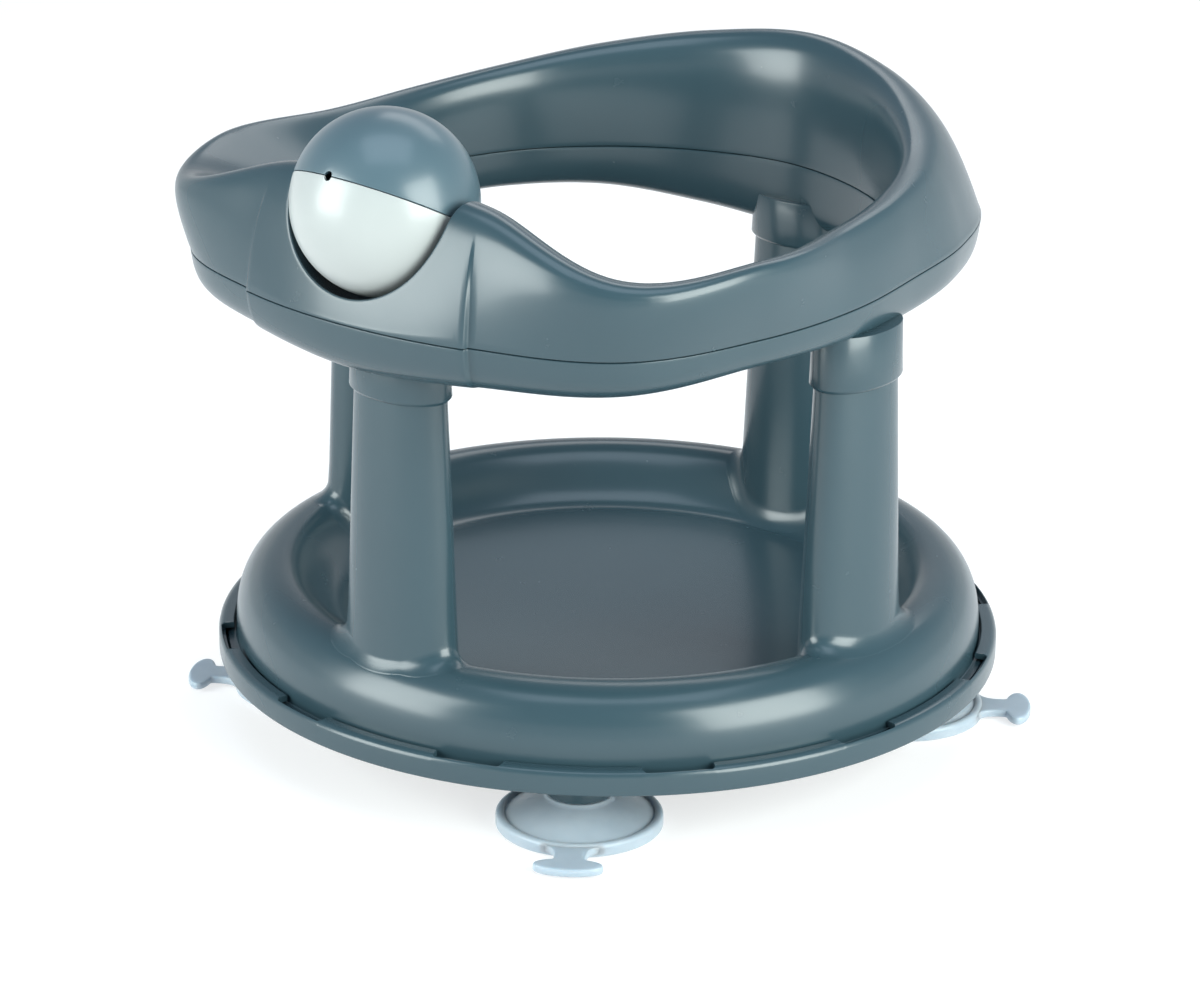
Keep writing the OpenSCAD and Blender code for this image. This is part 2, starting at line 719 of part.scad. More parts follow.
module seam_lip() {
    lip_r = ball_r - ball_wall - seam_gap;
    difference() {
        rotate_extrude() polygon([
            [lip_r - ball_wall / 2, -seam_lip_h],
            [ball_r - ball_wall / 2, -seam_lip_h],
            [ball_r - ball_wall / 2, 0],
            [lip_r, 0],
            [lip_r, seam_lip_h / 2],
            [lip_r - ball_wall / 2, seam_lip_h / 2]
        ]);
        for (s = [-1, 1])
            translate([s * ball_r, 0, 0]) cube([ball_r, 2 * pin_hub_r + ball_wall, ball_r], center = true);
        rotate([90, 0, 0]) cylinder(r = drain_r, h = 2 * ball_r + over, center = true);
    }
}
module ball_upper_half() {
    color(shell_grey) on_seat() at_ball() rotate([-ball_tilt, 0, 0]) ball_half(1);
}
module ball_lower_half() {
    color(ball_white) on_seat() at_ball() rotate([-ball_tilt, 0, 0]) {
        ball_half(-1);
        seam_lip();
    }
}

// Plain pivot pins, pressed into the upper shell; the ball turns on them
module ball_pin(side) {
    color(steel) on_seat() at_ball() translate([side * pin_start, 0, 0]) rotate([0, side * 90, 0])
        cylinder(r = pin_r, h = pin_len);
}
module ball_pin_left() { ball_pin(-1); }
module ball_pin_right() { ball_pin(1); }

base_ring();
suction_cup_1();
suction_cup_2();
suction_cup_3();
suction_cup_4();
seat_dish();
ring_lower_shell();
ring_upper_shell();
ring_screws();
ball_upper_half();
ball_lower_half();
ball_pin_left();
ball_pin_right();
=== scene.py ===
"""Looks of a swivelling baby bath seat: smooth mouldings, finishes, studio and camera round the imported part.

Lengths are in millimetres until a mesh is made. The seat has a frame of its own, with the ball towards -Y;
it is turned about +Z into the frame of the whole part.
"""

import logging
import math
from collections.abc import Callable, Sequence
from dataclasses import dataclass, field
from enum import Enum

import bmesh
import bpy
import numpy as np
from mathutils import Matrix


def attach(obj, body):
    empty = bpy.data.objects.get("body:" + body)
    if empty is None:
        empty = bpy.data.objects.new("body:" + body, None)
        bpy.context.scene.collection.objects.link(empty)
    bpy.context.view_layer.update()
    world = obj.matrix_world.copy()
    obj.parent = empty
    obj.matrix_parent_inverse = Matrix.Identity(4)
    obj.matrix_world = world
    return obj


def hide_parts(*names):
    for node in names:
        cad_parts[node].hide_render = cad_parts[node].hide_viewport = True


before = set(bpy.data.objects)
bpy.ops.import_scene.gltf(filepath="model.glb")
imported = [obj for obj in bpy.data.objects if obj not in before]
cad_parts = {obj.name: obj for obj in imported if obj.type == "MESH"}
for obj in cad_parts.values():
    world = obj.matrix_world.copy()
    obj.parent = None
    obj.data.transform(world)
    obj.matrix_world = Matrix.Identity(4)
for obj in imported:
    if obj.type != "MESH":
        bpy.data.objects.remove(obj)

log = logging.getLogger("bath_seat")

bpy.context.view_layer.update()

# Places that several pieces share, and what the meshes have in common
MM = 0.001
SEAT_TURN = -33.7
CUP_CIRCLE_R = 109.5
BALL_FRONT = 121.0
BALL_Z = 219.3
WELD = 0.002
TINY = 1e-6
SHARP_ANGLE = 38.0

Points = np.ndarray
Skin = Callable[[np.ndarray, np.ndarray], np.ndarray]


class Slot(Enum):
    """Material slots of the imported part."""

    SHELL_GREY = "shell_grey"
    BALL_GREY = "ball_grey"
    BALL_WHITE = "ball_white"
    SUCTION_CUP = "suction_cup"
    SCREW_STEEL = "screw_steel"
    PIN_STEEL = "pin_steel"


class Body(Enum):
    """Bodies that the pieces ride on."""

    BASE = "base"
    SEAT = "seat"
    BALL = "ball"


# Curves


def ease(x: np.ndarray) -> np.ndarray:
    """Smooth step from 0 to 1: the square of the clamped value times three less its double."""
    c = np.clip(x, 0.0, 1.0)
    return c * c * (3.0 - 2.0 * c)


def cubic(a: Points, b: Points, c: Points, d: Points, t: np.ndarray) -> Points:
    """Point of a cubic curve with two handles.

    Args:
        a: First point, or an array of them.
        b: First handle.
        c: Second handle.
        d: Last point.
        t: Share of the way, with one axis fewer than the points.

    Returns:
        The four points weighted by u³, 3u²t, 3ut² and t³ and summed, where u is 1 - t.
    """
    t = np.asarray(t, float)[..., None]
    u = 1.0 - t
    return u**3 * a + 3 * u * u * t * b + 3 * u * t * t * c + t**3 * d


def two_corner_curve(a: Points, b: Points, c: Points, d: Points, pull: float, t: np.ndarray) -> Points:
    """Curve from a to d that rounds the corners b and c and passes the middle between them.

    Args:
        a: First point.
        b: First corner.
        c: Second corner.
        d: Last point.
        pull: How far each handle goes towards its corner, as a share.
        t: Share of the way along the whole curve.

    Returns:
        Points of two cubic curves that meet at half way.
    """
    m = (b + c) / 2
    first = cubic(a, a + pull * (b - a), m + pull * (b - m), m, 2 * t)
    second = cubic(m, m + pull * (c - m), d + pull * (c - d), d, 2 * t - 1)
    return np.where(np.asarray(t)[..., None] < 0.5, first, second)


def rounded_path(corners: Sequence[tuple[float, float, float]], steps: int = 5) -> Points:
    """Open path of straight runs whose inner corners are rounded.

    Args:
        corners: Each corner's two coordinates and the length that the rounding takes off each run.
        steps: Points on each rounding, less one.

    Returns:
        The path's points: each rounding is a quadratic curve with its corner as the handle.
    """
    path = np.array([c[:2] for c in corners], float)
    parts = [path[:1]]
    t = np.linspace(0.0, 1.0, steps + 1)[:, None]
    for before, here, after, corner in zip(path[:-2], path[1:-1], path[2:], corners[1:-1]):
        cut = corner[2]
        if cut <= 0:
            parts.append(here[None])
            continue
        a = here + (before - here) / np.linalg.norm(before - here) * cut
        b = here + (after - here) / np.linalg.norm(after - here) * cut
        parts.append((1 - t) ** 2 * a + 2 * t * (1 - t) * here + t * t * b)
    parts.append(path[-1:])
    return np.concatenate(parts)


def left_of(path: Points) -> Points:
    """Unit normals on the left of a path, from the differences between each point's neighbours.

    Args:
        path: Points with two coordinates.

    Returns:
        One normal for each point.
    """
    d = np.gradient(path, axis=0)
    d /= np.linalg.norm(d, axis=1, keepdims=True)
    return np.stack([-d[:, 1], d[:, 0]], axis=1)


def on_circle(radius: np.ndarray, height: np.ndarray, angle: np.ndarray) -> Points:
    """Points at a radius and a height: x is r sin(a), y is -r cos(a).

    Args:
        radius: Distances from the Z axis.
        height: Heights.
        angle: Angles in degrees, from -Y towards +X.

    Returns:
        Points of the shape that the three arrays have together.
    """
    a = np.radians(angle)
    radius, height, a = np.broadcast_arrays(radius, height, a)
    return np.stack([radius * np.sin(a), -radius * np.cos(a), height], axis=-1)


def revolved(profile: Points, angles: np.ndarray) -> Points:
    """A profile of radii and heights carried round the Z axis, one row of points for each angle."""
    return on_circle(profile[None, :, 0], profile[None, :, 1], angles[:, None])


def full_turn(count: int) -> np.ndarray:
    """Equal angles all round, without the one that repeats the first."""
    return np.arange(count) * 360.0 / count


def turned(points: Points, degrees: float) -> Points:
    """Points turned about +Z.

    Args:
        points: Points with three coordinates.
        degrees: How far they turn.

    Returns:
        The turned points.
    """
    a = math.radians(degrees)
    c, s = math.cos(a), math.sin(a)
    return points @ np.array([[c, s, 0.0], [-s, c, 0.0], [0.0, 0.0, 1.0]])


# Meshes


@dataclass
class Moulding:
    """Grids of points gathered into one mesh, welded where their edges meet."""

    points: list[Points] = field(default_factory=list)
    quads: list[np.ndarray] = field(default_factory=list)
    count: int = 0

    def add(
        self,
        grid: Points,
        loop_rows: bool = False,
        loop_columns: bool = False,
        dropped: np.ndarray | None = None,
    ) -> None:
        """Add a grid of points as four-sided faces.

        Args:
            grid: Rows by columns by three coordinates.
            loop_rows: Join the last row to the first.
            loop_columns: Join the last column to the first.
            dropped: True for each cell that stays open.
        """
        rows, columns = grid.shape[:2]
        index = np.arange(rows * columns).reshape(rows, columns) + self.count
        if loop_rows:
            index = np.vstack([index, index[:1]])
        if loop_columns:
            index = np.hstack([index, index[:, :1]])
        cells = np.stack([index[:-1, :-1], index[1:, :-1], index[1:, 1:], index[:-1, 1:]], axis=-1)
        cells = cells.reshape(-1, 4) if dropped is None else cells[~dropped]
        self.points.append(grid.reshape(-1, 3))
        self.quads.append(cells)
        self.count += rows * columns

    def build(self, name: str, sharp_angle: float = SHARP_ANGLE) -> bpy.types.Object:
        """Make the mesh and its object.

        Args:
            name: The object's name.
            sharp_angle: Angle in degrees from which an edge stays sharp.

        Returns:
            The object, at the origin, with its faces outwards.
        """
        co = (np.concatenate(self.points) * MM).astype(np.float32)
        quads = np.concatenate(self.quads).astype(np.int32)
        mesh = bpy.data.meshes.new(name)
        mesh.vertices.add(len(co))
        mesh.vertices.foreach_set("co", co.ravel())
        mesh.loops.add(quads.size)
        mesh.loops.foreach_set("vertex_index", quads.ravel())
        mesh.polygons.add(len(quads))
        mesh.polygons.foreach_set("loop_start", np.arange(0, quads.size, 4, dtype=np.int32))
        mesh.update(calc_edges=True)
        bm = bmesh.new()
        bm.from_mesh(mesh)
        bmesh.ops.remove_doubles(bm, verts=bm.verts, dist=WELD * MM)
        bmesh.ops.recalc_face_normals(bm, faces=bm.faces)
        bm.to_mesh(mesh)
        bm.free()
        mesh.polygons.foreach_set("use_smooth", np.ones(len(mesh.polygons), bool))
        mesh.set_sharp_from_angle(angle=math.radians(sharp_angle))
        made = bpy.data.objects.new(name, mesh)
        bpy.context.scene.collection.objects.link(made)
        return made


@dataclass(frozen=True)
class Hole:
    """A hole in a skin: its middle and reach on the skin, the form that cuts it and the wall inside it."""

    angle: float
    angle_reach: float
    share_low: float
    share_mid: float
    share_high: float
    bevel: float
    form: Callable[[Points], np.ndarray]
    wall: Callable[[Points, float], Points]
    halvings: int = 44
    ring_spread: float = 0.8

    def cells(self, angles: np.ndarray, shares: np.ndarray) -> np.ndarray:
        """True for each cell of the skin's grid that the hole's patch takes.

        Args:
            angles: Angles of the grid's columns.
            shares: Shares of the grid's rows.

        Returns:
            One flag for each cell between the rows and the columns.
        """
        first, last = self.angle - self.angle_reach, self.angle + self.angle_reach
        a_ok = (angles[:-1] > first - TINY) & (angles[1:] < last + TINY)
        s_ok = (shares[:-1] > self.share_low - TINY) & (shares[1:] < self.share_high + TINY)
        return a_ok[:, None] & s_ok[None, :]

    def patch(self, skin: Skin, angles: np.ndarray, shares: np.ndarray, rings: int = 16) -> Points:
        """Rings of points from the outline of the patch in to the hole, over its edge and along its wall.

        Each ring's point lies on a straight line, in angle and share, from the outline to the hole's middle.
        The edge is where the form's distance from the skin is nought, found by halving an interval.

        Args:
            skin: The skin that the hole is cut in.
            angles: Angles of the skin's grid.
            shares: Shares of the skin's grid.
            rings: Rings on the skin.

        Returns:
            Rings by outline points by three coordinates.
        """
        taken = self.cells(angles, shares)
        i = np.flatnonzero(taken.any(axis=1))
        j = np.flatnonzero(taken.any(axis=0))
        a, s = angles[i[0] : i[-1] + 2], shares[j[0] : j[-1] + 2]
        outline = np.concatenate(
            [
                np.stack([a[:-1], np.full(len(a) - 1, s[0])], axis=1),
                np.stack([np.full(len(s) - 1, a[-1]), s[:-1]], axis=1),
                np.stack([a[:0:-1], np.full(len(a) - 1, s[-1])], axis=1),
                np.stack([np.full(len(s) - 1, a[0]), s[:0:-1]], axis=1),
            ]
        )
        middle = np.array([self.angle, self.share_mid])

        def at(u: np.ndarray) -> Points:
            """Skin points at shares u of the lines from the middle to the outline."""
            q = middle + u[..., None] * (outline - middle)
            return skin(q[..., 0], q[..., 1])

        def reach(distance: float) -> np.ndarray:
            """Share of each line at which the skin is a distance outside the form.

            Args:
                distance: How far outside the hole's form, in millimetres.

            Returns:
                One share for each line.
            """
            low, high = np.zeros(len(outline)), np.ones(len(outline))
            for _ in range(self.halvings):
                mid = (low + high) / 2
                inside = self.form(at(mid)) < distance
                low, high = np.where(inside, mid, low), np.where(inside, high, mid)
            return (low + high) / 2

        edge, start = at(reach(0.0)), reach(self.bevel)
        w = (np.linspace(0.0, 1.0, rings) ** self.ring_spread)[:, None]
        on_skin = at(1.0 + w * (start - 1.0))
        wall = self.wall(edge, self.bevel)
        t = np.linspace(0.0, 1.0, 7)[1:-1, None, None]
        over = (1 - t) ** 2 * on_skin[-1] + 2 * t * (1 - t) * edge + t * t * wall[0]
        return np.concatenate([on_skin, over, wall])


# Shaders


@dataclass
class Signal:
    """One output socket, with its sums written as Python expressions."""

    book: "ShaderBook"
    socket: bpy.types.NodeSocket

    def _math(self, operation: str, first: "Signal | float", second: "Signal | float") -> "Signal":
        """Result of a Math node on two values."""
        return self.book.node("ShaderNodeMath", {"operation": operation}, {0: first, 1: second})

    def __add__(self, other: "Signal | float") -> "Signal":
        """Sum."""
        return self._math("ADD", self, other)

    def __radd__(self, other: float) -> "Signal":
        """Sum, with the number first."""
        return self._math("ADD", other, self)

    def __sub__(self, other: "Signal | float") -> "Signal":
        """Difference."""
        return self._math("SUBTRACT", self, other)

    def __rsub__(self, other: float) -> "Signal":
        """Difference, with the number first."""
        return self._math("SUBTRACT", other, self)

    def __mul__(self, other: "Signal | float") -> "Signal":
        """Product."""
        return self._math("MULTIPLY", self, other)

    def clamped(self, low: float, high: float) -> "Signal":
        """Value kept between two limits."""
        return self._math("MINIMUM", self._math("MAXIMUM", self, low), high)


@dataclass
class ShaderBook:
    """Nodes of one material."""

    tree: bpy.types.NodeTree

    def node(
        self,
        kind: str,
        settings: dict[str, object] | None = None,
        sockets: dict[str | int, object] | None = None,
        output: str | int = 0,
    ) -> Signal:
        """Add a node.

        Args:
            kind: The node's type.
            settings: Properties, set first.
            sockets: Values or signals of its inputs.
            output: The output that is wanted.

        Returns:
            The output as a signal.
        """
        made = self.tree.nodes.new(kind)
        for key, value in (settings or {}).items():
            setattr(made, key, value)
        for key, value in (sockets or {}).items():
            if isinstance(value, Signal):
                self.tree.links.new(value.socket, made.inputs[key])
            else:
                made.inputs[key].default_value = value
        return Signal(self, made.outputs[output])

    def place(self) -> Signal:
        """Object coordinates, in metres."""
        return self.node("ShaderNodeTexCoord", output="Object")

    def noise(self, place: Signal, scale: float, detail: float = 2.0, roughness: float = 0.5) -> Signal:
        """Fractal noise between 0 and 1, with so many cells to the metre."""
        sockets = {"Vector": place, "Scale": scale, "Detail": detail, "Roughness": roughness}
        return self.node("ShaderNodeTexNoise", None, sockets)

    def blend(self, share: Signal, low: Sequence[float], high: Sequence[float]) -> Signal:
        """Colour between two colours."""
        settings = {"data_type": "RGBA", "blend_type": "MIX"}
        return self.node("ShaderNodeMix", settings, {0: share, 6: (*low, 1.0), 7: (*high, 1.0)}, 2)


@dataclass(frozen=True)
class Finish:
    """What all finishes share: a name and a way to make the material."""

    name: str

    def dress(self, book: ShaderBook, shader: bpy.types.Node) -> None:
        """Set the shader's sockets; each finish has its own way."""
        raise NotImplementedError

    def material(self) -> bpy.types.Material:
        """The finish as a material.

        Returns:
            The new material.
        """
        made = bpy.data.materials.new(self.name)
        made.use_nodes = True
        tree = made.node_tree
        self.dress(ShaderBook(tree), tree.nodes["Principled BSDF"])
        return made


@dataclass(frozen=True)
class GlossPlastic(Finish):
    """Glossy moulded plastic: cloudy colour, mottled gloss and a faint ripple in the surface."""

    colour: tuple[float, float, float]
    cloud_share: float = 0.06
    roughness: float = 0.26
    roughness_swing: float = 0.07
    coat: float = 0.1
    coat_roughness: float = 0.12
    refraction: float = 1.5
    ripple: float = 0.000012

    def dress(self, book: ShaderBook, shader: bpy.types.Node) -> None:
        """Colour clouds 40 mm wide with a fine speckle, gloss that varies over 12 mm, and a ripple of 3 mm.

        Args:
            book: Maker of the material's nodes.
            shader: The material's shader node, whose sockets are set.
        """
        place = book.place()
        cloud = book.noise(place, 24.0, 3.0, 0.6)
        speck = book.noise(place, 2600.0, 1.0, 0.5)
        share = (cloud * 0.8 + speck * 0.2).clamped(0.0, 1.0)
        dark = [c * (1 - self.cloud_share) for c in self.colour]
        light = [c * (1 + self.cloud_share) for c in self.colour]
        colour = book.blend(share, dark, light)
        mottle = book.noise(place, 80.0, 4.0, 0.65)
        rough = (self.roughness - self.roughness_swing / 2) + mottle * self.roughness_swing
        ripple = book.noise(place, 330.0, 2.0, 0.5)
        settings = {"Strength": 0.35, "Distance": self.ripple, "Height": ripple}
        bump = book.node("ShaderNodeBump", None, settings, "Normal")
        book.tree.links.new(colour.socket, shader.inputs["Base Color"])
        book.tree.links.new(rough.socket, shader.inputs["Roughness"])
        book.tree.links.new(bump.socket, shader.inputs["Normal"])
        shader.inputs["Coat Weight"].default_value = self.coat
        shader.inputs["Coat Roughness"].default_value = self.coat_roughness
        shader.inputs["IOR"].default_value = self.refraction


@dataclass(frozen=True)
class CupRubber(Finish):
    """Soft, milky, see-through plastic of a suction cup."""

    colour: tuple[float, float, float]
    deep_colour: tuple[float, float, float]
    inner_glow: float = 0.5
    glow_depth: float = 0.004
    glow_tint: tuple[float, float, float] = (0.7, 0.9, 1.0)
    clearness: float = 0.18
    refraction: float = 1.42

    def dress(self, book: ShaderBook, shader: bpy.types.Node) -> None:
        """Milky colour that goes deeper in clouds, a silky gloss, and light that spreads inside.

        Args:
            book: Maker of the material's nodes.
            shader: The material's shader node, whose sockets are set.
        """
        place = book.place()
        cloud = book.noise(place, 60.0, 3.0, 0.55)
        colour = book.blend((cloud * 1.4 - 0.2).clamped(0.0, 1.0), self.colour, self.deep_colour)
        mottle = book.noise(place, 240.0, 3.0, 0.6)
        rough = 0.26 + mottle * 0.14
        grain = book.noise(place, 900.0, 2.0, 0.5)
        settings = {"Strength": 0.3, "Distance": 0.00003, "Height": grain}
        bump = book.node("ShaderNodeBump", None, settings, "Normal")
        book.tree.links.new(colour.socket, shader.inputs["Base Color"])
        book.tree.links.new(rough.socket, shader.inputs["Roughness"])
        book.tree.links.new(bump.socket, shader.inputs["Normal"])
        shader.inputs["Subsurface Weight"].default_value = self.inner_glow
        shader.inputs["Subsurface Scale"].default_value = self.glow_depth
        shader.inputs["Subsurface Radius"].default_value = self.glow_tint
        shader.inputs["Transmission Weight"].default_value = self.clearness
        shader.inputs["IOR"].default_value = self.refraction


@dataclass(frozen=True)
class TurnedSteel(Finish):
    """Bright steel with fine turning marks."""

    colour: tuple[float, float, float] = (0.62, 0.63, 0.65)
    streak_scale: tuple[float, float, float] = (400.0, 400.0, 2400.0)

    def dress(self, book: ShaderBook, shader: bpy.types.Node) -> None:
        """Metal whose colour and gloss vary in fine streaks, with a faint scratch relief.

        Args:
            book: Maker of the material's nodes.
            shader: The material's shader node, whose sockets are set.
        """
        place = book.place()
        sockets = {"Vector": place, "Scale": self.streak_scale}
        stretched = book.node("ShaderNodeMapping", None, sockets, "Vector")
        streak = book.noise(stretched, 1.0, 3.0, 0.6)
        dark = [c * 0.82 for c in self.colour]
        light = [min(1.0, c * 1.12) for c in self.colour]
        colour = book.blend(streak, dark, light)
        rough = 0.22 + streak * 0.2
        settings = {"Strength": 0.3, "Distance": 0.00001, "Height": streak}
        bump = book.node("ShaderNodeBump", None, settings, "Normal")
        book.tree.links.new(colour.socket, shader.inputs["Base Color"])
        book.tree.links.new(rough.socket, shader.inputs["Roughness"])
        book.tree.links.new(bump.socket, shader.inputs["Normal"])
        shader.inputs["Metallic"].default_value = 1.0


@dataclass
class Workshop:
    """Materials by slot, and the step that dresses a piece and puts it on its body."""

    finishes: dict[Slot, Finish]
    materials: dict[Slot, bpy.types.Material] = field(default_factory=dict)

    def material(self, slot: Slot) -> bpy.types.Material:
        """The slot's material, made when it is first wanted.

        Args:
            slot: The material slot.

        Returns:
            The material.
        """
        if slot not in self.materials:
            self.materials[slot] = self.finishes[slot].material()
        return self.materials[slot]

    def mount(self, piece: bpy.types.Object, body: Body, slot: Slot, *nodes: str) -> None:
        """Dress a piece, set it on its body and let it stand for its CAD nodes.

        Args:
            piece: The new piece.
            body: The body that it rides on.
            slot: Its material slot.
            nodes: The CAD nodes that it stands for.
        """
        piece.data.materials.append(self.material(slot))
        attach(piece, body.value)
        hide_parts(*nodes)
        log.info("%s: %d vertices on body %s", piece.name, len(piece.data.vertices), body.value)

    def dress_node(self, node: str, slot: Slot) -> None:
        """Give a carried-over CAD node its finish.

        Args:
            node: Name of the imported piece.
            slot: Its material slot.
        """
        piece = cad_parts[node]
        piece.data.materials.clear()
        piece.data.materials.append(self.material(slot))
        log.info("%s: dressed as %s", node, slot.value)


# The base


@dataclass
class BaseRing:
    """Fixed ring: floor, outer wall, lip with windows, upstand, and bosses for the cups."""

    outer_r: float = 142.5
    floor_z: float = 24.8
    wall_h: float = 8.8
    wall: float = 2.4
    lip_w: float = 5.6
    floor_w: float = 54.5
    upstand_h: float = 5.0
    window_count: int = 12
    window_len: float = 25.0
    window_turn: float = 15.0
    window_corner: float = 1.44
    boss_r: float = 12.0
    boss_z: float = 11.9
    boss_circle_r: float = CUP_CIRCLE_R
    bore_r: float = 6.3
    boss_sides: int = 72
    lip_bend: float = 0.35

    def lip_edge(self, angle: np.ndarray) -> np.ndarray:
        """Radius of the lip's inner edge: further out along a window, with rounded corners at its ends.

        Args:
            angle: Angles round the axis, in degrees from the front.

        Returns:
            One radius for each angle.
        """
        closed, cut = self.outer_r - self.lip_w, self.outer_r - self.wall / 2
        pitch = 360.0 / self.window_count
        off = (angle - self.window_turn + pitch / 2) % pitch - pitch / 2
        s = np.abs(np.radians(off)) * cut
        u = np.clip((s - self.window_len / 2 + self.window_corner) / self.window_corner, 0.0, 1.0)
        opened = cut - self.window_corner * (1.0 - np.sqrt(1.0 - u * u))
        return np.where(s < self.window_len / 2 + 1e-9, opened, closed)

    def angles(self) -> np.ndarray:
        """Angles of the columns: even steps, close ones in the corners, and a pair at each window's end.

        Returns:
            The angles of a whole turn, in degrees.
        """
        cut = self.outer_r - self.wall / 2
        half = math.degrees(self.window_len / 2 / cut)
        corner = math.degrees(self.window_corner / cut)
        inner = half - corner * (1.0 - np.sin(np.linspace(0.0, np.pi / 2, 6)))
        bend = math.degrees(self.lip_bend / cut)
        inside = np.linspace(0.0, half - corner, 7)[:-1]
        side = np.concatenate([inside, inner, [half + bend, half + 3 * bend]])
        one = np.concatenate([-side[:0:-1], side])
        pitch = 360.0 / self.window_count
        gap = np.linspace(half + 3 * bend, pitch - half - 3 * bend, 18)[1:-1]
        one = np.concatenate([one, gap])
        return (self.window_turn + one[None, :] + pitch * np.arange(self.window_count)[:, None]).ravel()

    def sections(self, angle: np.ndarray) -> Points:
        """Closed section of the ring for each angle; only the lip's part depends on the angle.

        Args:
            angle: Angles round the axis, in degrees from the front.

        Returns:
            Radii and heights of the section, one row of points for each angle.
        """
        n = len(angle)
        top = self.floor_z + self.wall_h
        edge_r = self.wall * 0.9
        lip_low = top - edge_r
        inner_wall = self.outer_r - self.wall
        floor_top = self.floor_z + self.wall
        inner = self.outer_r - self.floor_w
        lip = self.lip_edge(angle)
        fixed = rounded_path(
            [
                (inner + self.wall, floor_top, 0),
                (inner + self.wall, floor_top + self.upstand_h, 0.7),
                (inner, floor_top + self.upstand_h, 0.7),
                (inner, self.floor_z, 0.6),
                (self.outer_r, self.floor_z, 0.7),
                (self.outer_r, top - edge_r, 0),
            ]
        )
        share = np.sin(np.linspace(0.0, np.pi / 2, 9))[1:]
        inward = 1.0 - np.cos(share * np.pi / 2)
        r = self.outer_r + (lip[:, None] + self.lip_bend - self.outer_r) * inward[None, :]
        z = lip_low + np.sqrt(np.maximum(edge_r**2 - np.maximum(r - self.outer_r + edge_r, 0.0) ** 2, 0.0))
        drop = np.array([0.07, 0.2, self.lip_bend + 0.05])
        back = np.array([0.18, 0.05, 0.0])
        lip_r = lip[:, None] + back[None, :]
        lip_z = z[:, -1:] - drop[None, :]
        low = np.where(lip > inner_wall, lip_low - 0.3, lip_low)
        tail_r = np.stack([lip, np.full(n, inner_wall), np.full(n, inner_wall)], axis=1)
        tail_z = np.stack([low, low, np.full(n, floor_top)], axis=1)
        fixed_r = np.broadcast_to(fixed[None, :, 0], (n, len(fixed)))
        fixed_z = np.broadcast_to(fixed[None, :, 1], (n, len(fixed)))
        return np.stack(
            [
                np.concatenate([fixed_r, r, lip_r, tail_r], axis=1),
                np.concatenate([fixed_z, z, lip_z, tail_z], axis=1),
            ],
            axis=-1,
        )

    def moulding(self) -> bpy.types.Object:
        """The ring and its four bosses as one mesh.

        Returns:
            The finished object, placed at the origin.
        """
        angle = self.angles()
        section = self.sections(angle)
        shape = Moulding()
        skin = on_circle(section[..., 0], section[..., 1], angle[:, None])
        shape.add(skin, loop_rows=True, loop_columns=True)
        boss = rounded_path(
            [
                (self.bore_r, self.floor_z + 1.0, 0),
                (self.bore_r, self.boss_z, 0.4),
                (self.boss_r, self.boss_z, 0.9),
                (self.boss_r, self.floor_z + 1.0, 0),
            ]
        )
        for turn in full_turn(4):
            grid = revolved(boss, full_turn(self.boss_sides)) + np.array([0.0, -self.boss_circle_r, 0.0])
            shape.add(turned(grid, turn), loop_rows=True, loop_columns=True)
        return shape.build("base_ring_moulding")


